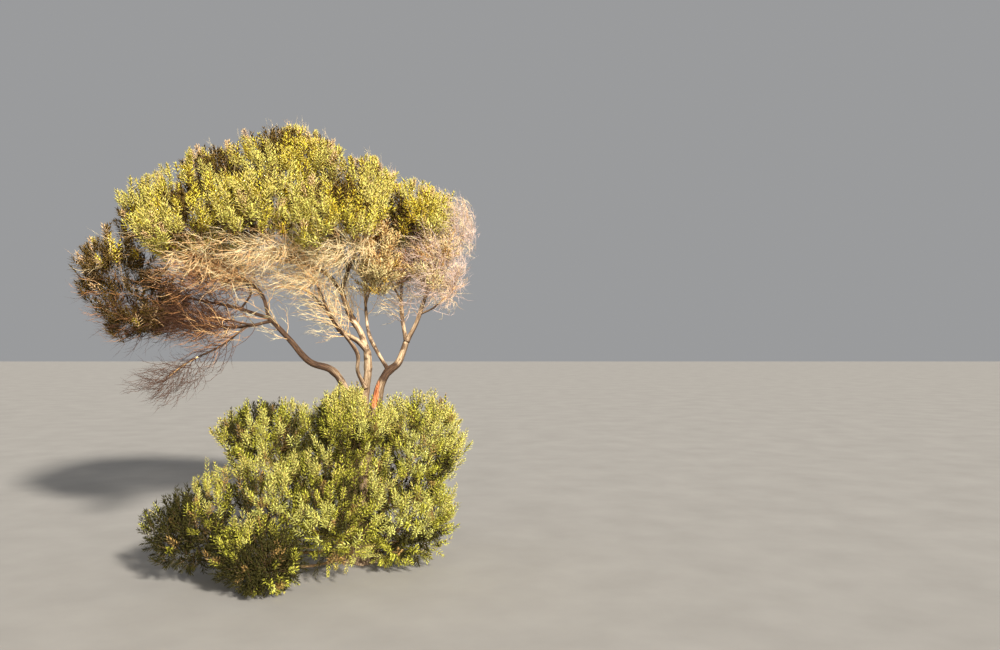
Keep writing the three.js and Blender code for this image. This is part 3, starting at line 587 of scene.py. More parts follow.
def skin_faces(rings, sides):
    """Triangles of a closed rod: bands between its rings, a fan to its tip, and a fan across its foot.
    Its corners are counted ring by ring, and its tip comes last."""
    faces = []
    for ring, side in itertools.product(range(rings - 1), range(sides)):
        a = ring * sides + side
        b = ring * sides + (side + 1) % sides
        faces += [(a, b, b + sides), (a, b + sides, a + sides)]
    last = (rings - 1) * sides
    faces += [(last + side, last + (side + 1) % sides, rings * sides) for side in range(sides)]
    faces += [(0, side + 1, side) for side in range(1, sides - 1)]
    return np.array(faces)


def ring_frames(paths):
    """For each station of each path its direction and two directions square to it. The first of these is
    square to the world axis that the path runs along least, so that the rings don't twist."""
    along = unit(np.gradient(paths, axis=1))
    reach = np.abs(paths[:, -1] - paths[:, 0])
    across = unit(np.cross(along, np.eye(3)[reach.argmin(axis=1)][:, None]))
    return along, across, np.cross(along, across)


def rods(pile, paths, radii, sides, finishes=0):
    """Adds rods along paths: at each station a ring of corners at even angles, as far from the path as the
    radius there says, and at the last station a point. All rods may share their radii and their finish."""
    _, across, other = ring_frames(paths)
    turn = np.arange(sides) * 2 * np.pi / sides
    ring = across[:, :, None] * np.cos(turn)[:, None] + other[:, :, None] * np.sin(turn)[:, None]
    corners = paths[:, :-1, None] + (radii[..., None, None] * ring)[:, :-1]
    count, rings = corners.shape[:2]
    vertices = np.concatenate([corners.reshape(count, -1, 3), paths[:, -1:]], axis=1)
    pile.add(vertices, skin_faces(rings, sides), np.reshape(finishes, (-1, 1)))


def leaves(pile, foot, along, upward, length, tints, is_inner):
    """Adds leaves: each is the leaf outline laid along its own direction and turned to face upward, as wide
    as its length asks, and bent down by a share of its length towards the tip. The first half of its
    triangles, the upper ones, take its tint, and the lower ones the finish below that goes with it."""
    points, faces = (INNER_LEAF_POINTS, INNER_LEAF_FACES) if is_inner else (LEAF_POINTS, LEAF_FACES)
    across = unit(np.cross(along, upward))
    normal = np.cross(across, along)
    x = points[:, 0] * LEAF_WIDTH / LEAF_LENGTH * length[:, None]
    y = points[:, 1] * length[:, None]
    z = -LEAF_BEND * points[:, 1] ** 2 * length[:, None]
    vertices = foot[:, None] + across[:, None] * x[..., None] + along[:, None] * y[..., None]
    vertices = vertices + normal[:, None] * z[..., None]
    is_top = np.arange(len(faces)) < len(faces) // 2
    pile.add(vertices, faces, np.where(is_top, tints[:, None], UNDERSIDES[tints][:, None]))


def in_own_space(seed, points, edge=EDGE, gap=SPACE_GAP):
    """True for points in their mass's space, above the ground, and deeper in it than in any other mass's
    by a gap."""
    depth = np.linalg.norm((points[:, None] - CENTRES) / RADII, axis=-1)
    own = depth[:, seed].copy()
    depth[:, seed] = np.inf
    return (own <= edge) & (points[:, 2] >= GROUND_GAP) & (depth.min(axis=1) > own + gap)


def blended_depth(points, kind):
    """How far out points lie in the blended spaces of the masses that a kind grows among, where 1 is their
    common edge: the soft least of their depths, which fills the creases between them."""
    spaces = BLENDED[kind]
    depth = np.linalg.norm((points[:, None] - CENTRES[spaces]) / RADII[spaces], axis=-1)
    return -np.log(np.exp(-BLENDS[kind] * depth).sum(axis=1)) / BLENDS[kind]


def over_line(points):
    """How far points are above the upper outline of the crown as it shows from the front, with its humps
    and notches."""
    return points[:, 2] - np.interp(points[:, 0], *CROWN_LINE.T)


def lee_share(points):
    """How far points are towards the lee end of the crown, from 0 to 1."""
    return band(points[:, 0], "lee_end")


def is_leafy(points, seed):
    """True for points of the crown above the underside of its leaves, which drops at the lee end, is uneven,
    and is thinned out there by bare twigs."""
    lee = lee_share(points)
    waves = LEAF_LINE_WAVES["height"] * lattice_noise(points / LEAF_LINE_WAVES["width"], 8)
    uneven = waves + LEAF_LINE_SCATTER * (draw(points, seed, 9) - 0.5)
    is_bare = draw(points, seed, 10) < LEE_BARE_SHARE * lee * band(points[:, 2], "lee_bare")
    return (points[:, 2] + uneven > mix(*LEAF_LINE, lee)) & ~is_bare


def plant_middle(kind):
    """The middle of the skirt or of the crown."""
    return SKIRT_MIDDLE if kind == "skirt" else CROWN_MIDDLE


def turned_to(lead):
    """The matrix that turns +Z to a direction by the shortest way."""
    x, y, z = np.cross(UP, lead)
    spin = np.array([[0, -z, y], [z, 0, -x], [-y, x, 0]])
    return np.eye(3) + spin + spin @ spin / (1 + lead[2])


def aims(mass, seed, level, count, reach, scatter=AIM_SCATTER):
    """Points spread evenly in direction by the golden angle, at depths scattered up to just past the reach.
    Past the coarsest level the first leads straight out of the plant, at the reach."""
    lead = unit(mass.centre - plant_middle(mass.kind))
    i = np.arange(count)
    up = 1 - 2 * i / (count - 0.5) if level else 1 - (2 * i + 1) / count
    turn = i * GOLDEN_ANGLE + seed + level
    ring = np.sqrt(1 - up**2)
    depth = reach * np.where(up < 1, AIM_DEPTH - scatter * (1 - chance(seed, level, i)), 1)
    out = np.stack([ring * np.cos(turn), ring * np.sin(turn), up], axis=1) @ turned_to(lead).T
    return out * mass.radii * depth[:, None] + mass.centre


def from_cluster(points):
    """The way to each point from the middle of its cluster, in cluster sizes. The middles are those of the
    cells of a lattice, scattered by chance."""
    place = points / CLUSTER["size"]
    cell = np.floor(place)
    nearest = np.full(place.shape, np.inf)
    for step in itertools.product((-1, 0, 1), repeat=3):
        key = cell + step
        moved = [chance(key[:, k], key[:, k - 1], 3.1 * key[:, k - 2] + k) - 0.5 for k in range(3)]
        way = place - key - 0.5 - 2 * CLUSTER["scatter"] * np.stack(moved, axis=1)
        is_nearer = (way**2).sum(axis=1) < (nearest**2).sum(axis=1)
        nearest = np.where(is_nearer[:, None], way, nearest)
    return nearest


def off_cluster(points):
    """How far each point is from the middle of its cluster, in cluster sizes."""
    return np.linalg.norm(from_cluster(points), axis=1)


def fine_aims(mass, seed, level, count, reach, scatter):
    """Aims as above, moved in or out along their directions until they lie that deep in the blended spaces,
    drawn in between clusters where they carry leaves, and kept where their own mass is the nearest."""
    way = aims(mass, seed, level, count, reach, scatter) - mass.centre
    wish = np.linalg.norm(way / mass.radii, axis=1)
    for _ in range(DEPTH_ROUNDS):
        now = np.maximum(blended_depth(mass.centre + way, mass.kind), LEAST_DEPTH)
        way = way * np.clip(wish / now, *DEPTH_STEPS)[:, None]
    if mass.kind != "bare":
        way = way * (1 + CLUSTER["depth"] * (0.5 - off_cluster(mass.centre + way)))[:, None]
    aim = mass.centre + way
    return aim[in_own_space(seed, aim, FINE_EDGE, FINE_GAP)]


def in_strip(name, points):
    """True for points close to the strip that a mass is kept to as seen from the front, or where it has
    none."""
    if name not in STRIPS:
        return np.full(len(points), True)
    strip = STRIPS[name]
    start, run = np.array(strip["from"]), np.array(strip["to"]) - strip["from"]
    share = np.clip((points - start) @ run / (run @ run), 0, 1)
    apart = np.linalg.norm((points - start - run * share[:, None])[:, [0, 2]], axis=1)
    return apart < mix(*strip["widths"], share)


class Wood:
    """The points of a mass's wood that finer twigs may grow from."""

    def __init__(self):
        self.point, self.along = np.zeros((0, 3)), np.zeros((0, 3))
        self.reach, self.radius = np.zeros(0), np.zeros(0)

    def keep(self, point, along, reach, radius):
        """Keeps buds: their places and directions, the way back to the foot and the wood's radius."""
        self.point, self.along = np.vstack([self.point, point]), np.vstack([self.along, along])
        self.reach = np.concatenate([self.reach, reach])
        self.radius = np.concatenate([self.radius, radius])

    def add(self, paths, reach_at_foot, radius, start):
        """Adds evenly spaced buds on each path, past a share of it."""
        shares = start + (1 - start) * (np.arange(BUDS) + 1) / BUDS
        point, along = along_paths(paths, shares)
        length = np.linalg.norm(np.diff(paths, axis=1), axis=2).sum(axis=1)
        reach = reach_at_foot[:, None] + shares * length[:, None]
        radius = radius[:, None] * (1 - BUD_TAPER * shares)
        self.keep(point.reshape(-1, 3), along.reshape(-1, 3), reach.ravel(), radius.ravel())

    def add_passing_limbs(self, mass):
        """Adds a bud at each station of each limb in or close by a mass's space."""
        for limb in LIMBS.values():
            path, radius = limb_stations(limb, LIMB_BUDS_STEP)
            near = np.linalg.norm((path - mass.centre) / mass.radii, axis=1) < LIMB_BUDS_EDGE
            self.keep(path[near], unit(np.gradient(path, axis=0))[near], np.zeros(near.sum()), radius[near])

    def nearest(self, aim):
        """For each aim the nearest bud, but less far from the foot is better."""
        apart = np.linalg.norm(aim[:, None] - self.point, axis=-1)
        return (apart + REACH_BALANCE * self.reach).argmin(axis=1)


def stem_of(mass):
    """The path and radius of a mass's stem: out of its bough's tip, or out of the trunk's side, and on to
    the middle of its space."""
    if isinstance(mass.root, str):
        line = smooth_path(LIMBS[mass.root].through)
        tip, along = line[-1], unit(line[-1] - line[-2])
        foot = tip - along * STEM["start"]
        middle = tip + along * STEM["lead"] * np.linalg.norm(mass.centre - tip)
        radius = LIMBS[mass.root].tip * STEM["share"]
    else:
        out = unit(mass.centre * (1, 1, 0))
        foot = trunk_middle(np.array(mass.root)) + out * (TRUNK_WAIST - SUCKER["depth"])
        middle = mix(foot, mass.centre, 0.5) - UP * SUCKER["sag"] * np.linalg.norm(mass.centre - foot)
        radius = SUCKER["radius"]
    return bent_paths(foot[None], middle[None], mass.centre[None], STATIONS[0]), radius


def shoot_ways(paths, centre, shares, leans, seed, drift):
    """Where shoots stand on twigs and their directions: outward, along the twig and with a drift, and to one
    side, by the golden angle round the twig, with one lean at the twig's tip and another behind it."""
    place, tangent = along_paths(paths, shares)
    out = unit(place - centre)
    rank = np.arange(len(shares))[None] + TURNS_PER_TWIG * np.arange(len(paths))[:, None]
    lean = np.where(np.asarray(shares) < max(shares), leans[1], leans[0])[None, :, None]
    way = SHOOT_OUTWARD * out + SHOOT_OUTWARD * tangent + drift
    way = way + lean * spread_round(tangent, out, rank * GOLDEN_ANGLE + seed)
    return place.reshape(-1, 3), unit(way).reshape(-1, 3)


def fitting_lengths(kind, foot, way, length, edge):
    """The longest of a few lengths at which each shoot stays in the blended spaces, above the ground, under
    the crown's upper outline and, with what grows on it, in the box, or 0."""
    best = np.zeros(len(foot))
    for share in SHOOT_FITS:
        run = way * (length * share)[:, None]
        fits = (blended_depth(foot + run, kind) <= edge) & (foot[:, 2] + run[:, 2] > SHOOT_GROUND_GAP)
        fits &= over_line(foot + run) < mix(*CROWN_LINE_SCATTER, draw(foot, 27, 0))
        far = foot + BOX_STRETCH * run
        fits &= ((far >= BOX_LOW) & (far <= BOX_HIGH)).all(axis=-1)
        best = np.where(fits, length * share, best)
    return best


def leafy_shoots(leaf_pile, wood_pile, foot, way, length, leaf_length, tint, seed, is_inner):
    """Adds shoots with crossed pairs of leaves: each pair stands a quarter turn from the last, at an angle
    that narrows towards the tip, with the upper faces towards the tip and the sky. Leaves are shorter at
    both ends of the shoot and on short shoots, and longer inside the plant."""
    count = len(foot)
    if not count:
        return
    rank, pair = np.arange(count)[:, None], np.arange(PAIRS)[None]
    paths = np.stack([foot, foot + unit(way + SHOOT_RISE * UP) * length[:, None]], axis=1)
    rods(wood_pile, paths, np.full(2, SHOOT_RADIUS), 3)

    shares = PAIRS_FROM + PAIRS_SPAN * (np.arange(PAIRS) + 0.5) / PAIRS
    place, tangent = along_paths(paths, shares)
    turn = pair * np.pi / 2 + ALL_ROUND * chance(rank, seed, 1)
    turn = turn + PAIR_TURN_SCATTER * chance(rank, pair, 2)
    spread = spread_round(tangent, PAIR_AXIS, turn)
    angle = mix(*OPEN_ANGLES, shares)[None] + OPEN_SCATTER * (chance(rank, pair, 3) - 0.5)
    angle = angle[..., None]
    size = leaf_length * np.interp(shares, *LEAF_PROFILE)[None]
    size = size * (INNER_LEAF if is_inner else 1)
    for hand in (1, -1):
        along = np.cos(angle) * tangent + np.sin(angle) * spread * hand
        upward = np.sin(angle) * tangent - np.cos(angle) * spread * hand + LEAF_RISE * UP
        sizes = size * mix(*LEAF_LENGTHS, chance(rank, pair, 5 + hand))
        sizes = sizes * (length / SHOOT_LENGTH)[:, None] ** LEAF_GROWTH
        leaves(
            leaf_pile, place.reshape(-1, 3), along.reshape(-1, 3), unit(upward.reshape(-1, 3)),
            sizes.ravel(), np.repeat(tint, PAIRS), is_inner,
        )


def bare_twiglets(pile, foot, way, length, seed):
    """Adds bare twiglets, which bend up or down and with the wind, each with thin spurs to its sides."""
    if not len(foot):
        return
    bend = TWIGLET_WIND * WIND + UP * mix(*TWIGLET_BENDS, draw(foot, seed, 22))[:, None]
    middle = foot + unit(way - bend) * 0.5 * length[:, None]
    tip = foot + unit(way + bend) * length[:, None]
    paths = bent_paths(foot, middle, tip, len(TWIGLET_TAPER))
    tones = dead_tones(foot, seed)
    rods(pile, paths, TWIGLET_RADIUS * TWIGLET_TAPER, 3, tones)

    rank, spur = np.arange(len(foot))[:, None], np.arange(len(SPURS))[None]
    place, tangent = along_paths(paths, SPURS)
    toward = unit(UP + draw(foot, seed, 4)[:, None])[:, None]
    spread = spread_round(tangent, toward, spur * GOLDEN_ANGLE + ALL_ROUND * chance(rank, seed, 6))
    reach = (length[:, None] * mix(*SPUR_LENGTHS, chance(rank, spur, seed)))[..., None]
    end = place + unit(tangent + SPUR_SPREAD * spread + SPUR_WIND * WIND) * reach
    spurs = np.stack([place, end], axis=2).reshape(-1, 2, 3)
    rods(pile, spurs, TWIGLET_RADIUS * SPUR_TAPER, 3, np.repeat(tones, len(SPURS)))


def dead_tones(points, seed):
    """A tone for each bare twig: pinkish to windward, darker towards the lee end, inside and below, which is
    painted shade and partly weathered wood, and scattered by chance."""
    x, _, z = points.T
    lee = band(x, "tone_lee")
    shades = {
        "base": 1,
        "lee_low": lee * band(z, "tone_low"),
        "lee": lee,
        "hanging": band(z, "tone_hanging"),
        "inner": band(1 - blended_depth(points, "bare"), "tone_inner"),
        "chance": draw(points, seed, 12),
    }
    dark = sum(DEAD_SHADES[name] * shade for name, shade in shades.items())
    is_pink = draw(points, seed, 25) < PINK_SHARE * band(x, "tone_pink")
    return np.where(is_pink, PINK_TONE, np.clip(np.floor(dark), 0, 3).astype(int))


def dealt_tints(points, centre, kind, seed):
    """A tint for each spray, which paints light and shade into its colour. It is paler, as painted light,
    where the plant, its mass and its cluster face the sun and at the upper outline, and darker, as painted
    shade, inside and between clusters, towards the lee end and near the ground, and scattered by patches and
    by chance. The painted light makes the top of the crown darker than its front, and the top of the skirt
    paler. Some sprays are brown, more of them at the upper outline and at the crown's lee end."""
    x, _, z = points.T
    is_skirt = kind == "skirt"
    out = FACING["mass"] * unit(points - centre) + FACING["plant"] * unit(points - plant_middle(kind))
    sun = unit(SKIRT_SUN if is_skirt else CROWN_SUN)
    high = band(out[:, 2], "high")
    patches = lattice_noise(points / PATCH_SIZE, 11)
    way = from_cluster(points)
    shades = {
        "base": 1,
        "sun": out @ sun,
        "inner": band(1 - blended_depth(points, kind), "inner"),
        "hollow": band(np.linalg.norm(way, axis=1), "hollow"),
        "cluster": way @ sun,
        "chance": draw(points, seed, 7) - 0.5,
    }
    if is_skirt:
        shades |= {"lee": band(x, "skirt_lee") * band(z, "skirt_low"), "ground": band(z, "ground")}
        shades |= {"skirt_high": high, "skirt_patch": patches}
        brown = BROWN_SHARES["base"]
    else:
        lee = band(x + LEE_EDGE["slope"] * (z - LEE_EDGE["height"]), "crown_lee")
        line = band(over_line(points), "line")
        shades |= {"lee": lee, "line": line * (1 - lee), "crown_high": high * (1 - lee)}
        shades |= {"crown_low": 1 - lee, "crown_patch": patches}
        brown = BROWN_SHARES["base"] + BROWN_SHARES["lee"] * lee + BROWN_SHARES["line"] * line
    dark = sum(PAINTED_SHADES[name] * shade for name, shade in shades.items())
    tint = np.clip(np.floor(dark), 0, 3).astype(int)
    return np.where(draw(points, seed, 8) < brown, BROWN_TINT, tint)


def grow_mass(name, seed, leaf_pile, live_pile, dead_pile):
    """Grows one mass: a stem, four levels of twigs that each start at the nearest bud of the coarser wood,
    and shoots or twiglets on the two finest. Some bare masses carry a few dry leaves as well."""
    mass = MASSES[name]
    kind = KINDS[mass.kind]
    is_bare = mass.kind == "bare"
    stem, stem_radius = stem_of(mass)
    stem_radii = np.linspace(stem_radius, STEM["tip"], STATIONS[0])
    rods(dead_pile if is_bare else live_pile, stem, stem_radii, STEM["sides"], int(is_bare))
    wood = Wood()
    wood.add(stem, np.zeros(1), np.array([stem_radius]), STEM["buds_from"])
    if is_bare:
        wood.add_passing_limbs(mass)

    for level, (count, reach) in enumerate(zip(kind.counts, kind.reaches)):
        is_fine = level >= FIRST_FINE_LEVEL
        if is_fine:
            count = round(count * FULLNESS.get(name, 1))
            aim = fine_aims(mass, seed, level, count, reach, kind.scatter)
        else:
            aim = aims(mass, seed, level, count, reach)
            aim = aim[in_own_space(seed, aim)]
        aim = aim[in_strip(name, aim)]
        bud = wood.nearest(aim - kind.sweep * is_fine)
        foot, start = wood.point[bud], wood.along[bud]
        apart = np.linalg.norm(aim - foot, axis=1)[:, None]
        middle = foot + start * TWIG_BEND["start"] * apart + (aim - foot) * TWIG_BEND["aim"]
        middle = middle + kind.bow * TWIG_BEND["bow"] * apart
        paths = bent_paths(foot, middle, aim, STATIONS[level])
        limits = (FINE_EDGE, 2 * FINE_GAP) if is_fine else (COARSE_EDGE, SPACE_GAP)
        keep = in_own_space(seed, along_paths(paths, [TWIG_TEST])[0][:, 0], *limits)
        paths, bud, aim = paths[keep], bud[keep], aim[keep]
        radius = np.minimum(kind.radii[level], PARENT_SHARE * wood.radius[bud])
        radii = radius[:, None] * np.linspace(1, TWIG_TAPER, STATIONS[level])
        has_leaves = is_leafy(aim, seed) if mass.kind == "leafy" else np.full(len(aim), not is_bare)
        if has_leaves.any():
            rods(live_pile, paths[has_leaves], radii[has_leaves], SIDES[level])
        bare = ~has_leaves
        if bare.any():
            rods(dead_pile, paths[bare], radii[bare], SIDES[level], dead_tones(aim[bare], seed))
        wood.add(paths, wood.reach[bud], radius, BUDS_FROM)
        if is_fine:
            add_shoots(mass, seed, level, paths[has_leaves], leaf_pile, live_pile, dead_pile)
            add_twiglets(mass, seed, level, paths[bare], dead_pile, DRIFTS.get(name, STREAM))
            is_dry = draw(aim, seed, 14 + level) < DRY_SHARES.get(name, 0)
            add_shoots(mass, seed, level, paths[is_dry], leaf_pile, dead_pile, dead_pile)


def hides_fork(points, seed):
    """True for points that would hide the fork of the stems, which shows above the skirt, from the front."""
    x, z = points[:, 0], points[:, 2] + FORK_VIEW["scatter"] * (draw(points, seed, 26) - 0.5)
    return (x > FORK_VIEW["left"]) & (x < FORK_VIEW["right"]) & (z > FORK_VIEW["above"] - SHOOT_LENGTH)


def add_shoots(mass, seed, level, paths, leaf_pile, live_pile, dead_pile):
    """Leafy shoots on twigs, as long as their space allows. The finest twigs have none between clusters, and
    the skirt none where they would hide the fork. Some shoots are leaders, longer and steeper, and in the
    crown some are bare, more of them at its upper outline."""
    if not len(paths):
        return
    foot, way = shoot_ways(paths, mass.centre, LEAFY_SHARES, LEAFY_LEANS, seed + level, 0)
    way = unit(way + UP * mix(*RISES, band(foot[:, 2], "rise"))[:, None])
    if level > FIRST_FINE_LEVEL:
        limit = mix(*CLUSTER["hollows"], draw(foot, seed, 16))
        is_deep = blended_depth(foot, mass.kind) < CLUSTER["filled_under"]
        is_full = (off_cluster(foot) < limit) | is_deep
        foot, way = foot[is_full], way[is_full]
    if mass.kind == "skirt":
        is_clear = ~hides_fork(foot, seed)
        foot, way = foot[is_clear], way[is_clear]

    is_leader = draw(foot, seed, 15 + level) < LEADERS["share"]
    way = unit(way + is_leader[:, None] * UP)
    wish = SHOOT_LENGTH * mix(*SHOOT_LENGTHS, draw(foot, seed, 11 + level))
    wish = wish * np.where(is_leader, LEADERS["longer"], 1)
    edge = np.where(is_leader, LEADERS["edge"], mix(*SHOOT_EDGES, draw(foot, seed, 17 + level)))
    length = fitting_lengths(mass.kind, foot, way, wish, edge)
    bare_share = mix(*BARE_TIP_SHARES, band(over_line(foot), "bare_tips") * (1 - lee_share(foot)))
    is_bare = (draw(foot, seed, 19 + level) < bare_share) & (mass.kind == "leafy")
    bare = is_bare & (length > 0)
    lengths = np.full(bare.sum(), BARE_TIP_LENGTH)
    bare_twiglets(dead_pile, foot[bare], unit(way[bare] + UP), lengths, seed)
    keep = ~is_bare & (length > 0)
    foot, way, length = foot[keep], way[keep], length[keep]
    tint = dealt_tints(foot, mass.centre, mass.kind, seed)
    is_inner = blended_depth(foot, mass.kind) < INNER_DEPTH
    leaf_length = LEAF_LENGTH * (SKIRT_LEAF if mass.kind == "skirt" else 1)
    for here, inner in ((is_inner, True), (~is_inner, False)):
        leafy_shoots(
            leaf_pile, live_pile, foot[here], way[here], length[here], leaf_length, tint[here], seed, inner
        )


def add_twiglets(mass, seed, level, paths, dead_pile, drift):
    """Bare twiglets on twigs, as long as their space allows."""
    if not len(paths):
        return
    foot, way = shoot_ways(paths, mass.centre, BARE_SHARES, BARE_LEANS, seed + level, drift)
    wish = TWIGLET_LENGTH * mix(*TWIGLET_LENGTHS, draw(foot, seed, 13 + level))
    edge = mix(*TWIGLET_EDGES, draw(foot, seed, 18 + level))
    length = fitting_lengths("bare", foot, unit(way + TWIGLET_WIND * WIND), wish, edge)
    keep = length > 0
    bare_twiglets(dead_pile, foot[keep], way[keep], length[keep], seed)


def add_side_twigs(pile):
    """Adds thin bare twigs on the open lengths of the boughs, to all sides in turn by the golden angle. Each
    bends up, or down where its bough droops, and with the wind, and carries twiglets."""
    for seed, (name, (start, end, count)) in enumerate(SIDE_TWIGS.items()):
        line, _ = limb_stations(LIMBS[name], BOUGH_STEP)
        rank = np.arange(count)
        shares = mix(start, end, (rank + draw(rank, seed, 21)) / count)
        foot, tangent = (row[0] for row in along_paths(line[None], shares))
        length = (SIDE_TWIG_LENGTH * mix(*SIDE_TWIG_LENGTHS, draw(rank, seed, 23)))[:, None]
        lift = UP * DROOPING.get(name, SIDE_TWIG_LIFT)
        way = spread_round(tangent, UP, rank * GOLDEN_ANGLE + seed)
        way = unit(SIDE_TWIG_LEAD * tangent + way + lift)
        tip = foot + unit(way + SIDE_TWIG_WIND * WIND + lift) * length
        paths = bent_paths(foot, foot + way * 0.5 * length, tip, STATIONS[2])
        radii = SIDE_TWIG_RADIUS * np.linspace(1, TWIG_TAPER, STATIONS[2])
        rods(pile, paths, radii, 3, np.maximum(dead_tones(tip, seed), 1))
        drift = SIDE_TWIG_WIND * WIND + lift
        foot, way = shoot_ways(paths, line.mean(axis=0), BARE_SHARES, BARE_LEANS, seed, drift)
        wish = TWIGLET_LENGTH * mix(*SIDE_TWIGLET_LENGTHS, draw(foot, seed, 24))
        bare_twiglets(pile, foot, way, wish, seed)


def trunk_radius(height, angle):
    """The trunk's radius: a waist that widens to an oval fork, ribbed roots below, and slow folds."""
    to_fork = (height / TRUNK_HEIGHT) ** 3
    spread = 1 + FORK_SPREAD * to_fork * np.cos(2 * angle)
    ribs = 1 + RIB_DEPTH * np.cos(FLARE_RIBS * angle + FLARE_TURN)
    flare = FLARE_REACH * np.exp(-height / FLARE_HEIGHT) * ribs
    folds = FOLD_DEPTH * np.cos(FOLDS * angle + height / FOLD_TWIST)
    return mix(TRUNK_WAIST, TRUNK_FORK, to_fork) * spread + flare + folds


def trunk_middle(height):
    """The middle of the trunk, which bows a little towards the lee side below the fork."""
    return np.stack([-TRUNK_LEAN * np.sin(np.pi * height / TRUNK_HEIGHT), 0 * height, height], axis=-1)


def add_trunk(pile, sides=48, rings=60):
    """Adds the trunk: level rings from the ground up, closed by a low dome under the fork."""
    height = np.linspace(0, TRUNK_HEIGHT, rings + 1)[:, None]
    angle = (np.arange(sides) * 2 * np.pi / sides)[None]
    dome = np.clip((height - DOME_START) / (TRUNK_HEIGHT - DOME_START), 0, 1)
    radius = trunk_radius(height, angle) * np.sqrt(1 - dome**2)
    level = np.stack([np.cos(angle) * radius, np.sin(angle) * radius, 0 * radius], axis=-1)
    corners = trunk_middle(height[:, 0])[:, None] + level
    vertices = np.vstack([corners[:-1].reshape(-1, 3), trunk_middle(height[-1])])
    pile.add(vertices[None], skin_faces(rings, sides))


def limb_stations(limb, step):
    """A limb's path at even steps, with its radius there."""
    line = smooth_path(limb.through)
    length = np.linalg.norm(np.diff(line, axis=0), axis=1).sum()
    stations = max(6, round(length / step))
    return even_path(line, stations), np.linspace(limb.foot, limb.tip, stations)


def centre_lines(names, step=0.01):
    """The centre lines of the trunk and the named limbs as one list of stations: place, radius, the two
    directions square to the line, and the distance along it."""
    rows = []
    heights = np.arange(0, TRUNK_HEIGHT, step)
    paths = [(trunk_middle(heights), np.full(len(heights), TRUNK_WAIST))]
    paths += [limb_stations(LIMBS[name], step) for name in names]
    for line, radius in paths:
        _, across, other = ring_frames(line[None])
        far = np.arange(len(line)) * step
        rows.append(np.hstack([line, radius[:, None], across[0], other[0], far[:, None]]))
    return np.vstack(rows)


def grain_of(points, lines):
    """For each point of the bark its place across and along the grain of the limb that it lies on, which is
    the one whose surface is nearest, and that limb's radius there."""
    grain, radius = np.zeros_like(points), np.zeros(len(points))
    for block in np.array_split(np.arange(len(points)), max(1, len(points) // BLOCK)):
        offset = points[block][:, None] - lines[:, :3]
        near = (np.linalg.norm(offset, axis=-1) - lines[:, 3]).argmin(axis=1)
        out = points[block] - lines[near, :3]
        grain[block, 0] = (out * lines[near, 4:7]).sum(axis=1)
        grain[block, 1] = (out * lines[near, 7:10]).sum(axis=1)
        grain[block, 2] = lines[near, 10] + points[block][:, 2] * GRAIN_LIFT
        radius[block] = lines[near, 3]
    return grain, radius


def bark_relief(grain, radius):
    """How far the bark stands out, as shares of the limb's radius added up: slow folds, fissures and thin
    strands that run along the grain, and a knot here and there."""
    noise = {name: grain_noise(grain, name) for name in RELIEF}
    noise["fissures"] = 1 - 2 * np.abs(noise["fissures"])
    noise["knots"] = band(noise["knots"], "knots")
    return radius * sum(depth * noise[name] for name, depth in RELIEF.items())


def tear_share(points):
    """How torn the bark is at each point, from 0 to 1: within a strip between two places, ragged at its
    edges."""
    start, end = np.array(TEAR["from"]), np.array(TEAR["to"])
    run = end - start
    t = np.clip((points - start) @ run / (run @ run), 0, 1)[:, None]
    apart = np.linalg.norm(points - (start + run * t), axis=1)
    return 1 - band(apart / TEAR["width"] + TEAR["ragged"] * grain_noise(points, "ragged"), "whole")


def melted(mesh):
    """One skin round overlapping closed shapes, by a voxel remesh that is then softened at the forks."""
    rough = placed("rough_wood", mesh)
    melt = rough.modifiers.new("melt", "REMESH")
    melt.mode = "VOXEL"
    melt.voxel_size = VOXEL
    soften = rough.modifiers.new("soften", "SMOOTH")
    soften.factor = SOFTENING["factor"]
    soften.iterations = SOFTENING["rounds"]
    shape = rough.evaluated_get(bpy.context.evaluated_depsgraph_get())
    skin = bpy.data.meshes.new_from_object(shape)
    bpy.data.objects.remove(rough)
    return skin


def set_attribute(mesh, name, kind, values):
    """Keeps a value for each vertex under a name."""
    layer = mesh.attributes.new(name, kind, "POINT")
    key = "vector" if kind == "FLOAT_VECTOR" else "value"
    layer.data.foreach_set(key, values.astype(np.float32).ravel())


def carved(mesh, names):
    """Moves a mesh of bark along its normals by the bark's relief and the tear, but keeps its foot flat on
    the ground. Stores its grain, how torn it is, and how dark, which is damp and painted shade: the most of
    how far it faces down, how far it is to the lee, and how near it is to a shadowed place."""
    points = np.zeros(len(mesh.vertices) * 3, np.float32)
    normals = np.zeros_like(points)
    mesh.vertices.foreach_get("co", points)
    mesh.vertex_normals.foreach_get("vector", normals)
    points, normals = points.reshape(-1, 3).astype(float), normals.reshape(-1, 3).astype(float)
    grain, radius = grain_of(points, centre_lines(names))
    tear = tear_share(points)
    splinters = mix(*TEAR["splinters"], np.abs(grain_noise(points, "splinters")))
    relief = bark_relief(grain, radius) * (1 - tear) - TEAR["depth"] * tear * splinters
    moved = points + normals * (relief * band(points[:, 2], "off_ground"))[:, None]
    moved[:, 2] = np.where(points[:, 2] < FLAT_FOOT, 0, np.maximum(moved[:, 2], 0))
    mesh.vertices.foreach_set("co", moved.astype(np.float32).ravel())

    # Damp and painted shade: darker where the bark faces down, on the lee limbs and near the shadowed places
    dark = np.maximum(band(normals[:, 2], "facing_down"), LEE_BARK_SHARE * band(points[:, 0], "lee_bark"))
    for place, reach in SHADOWED_BARK:
        dark = np.maximum(dark, band(np.linalg.norm(points - place, axis=1) / reach, "shadowed_bark"))
    set_attribute(mesh, "grain", "FLOAT_VECTOR", grain)
    set_attribute(mesh, "torn", "FLOAT", tear)
    set_attribute(mesh, "damp_and_shade", "FLOAT", dark)
    mesh.update()
    return mesh


def trunk_and_stems():
    """The trunk and the thickest limbs as one skin with smooth forks."""
    pile = Pile()
    add_trunk(pile)
    for name in MELTED_LIMBS:
        path, radius = limb_stations(LIMBS[name], MELT_STEP)
        rods(pile, path[None], radius, MELT_SIDES)
    return carved(melted(pile.mesh("rough_wood")), MELTED_LIMBS)


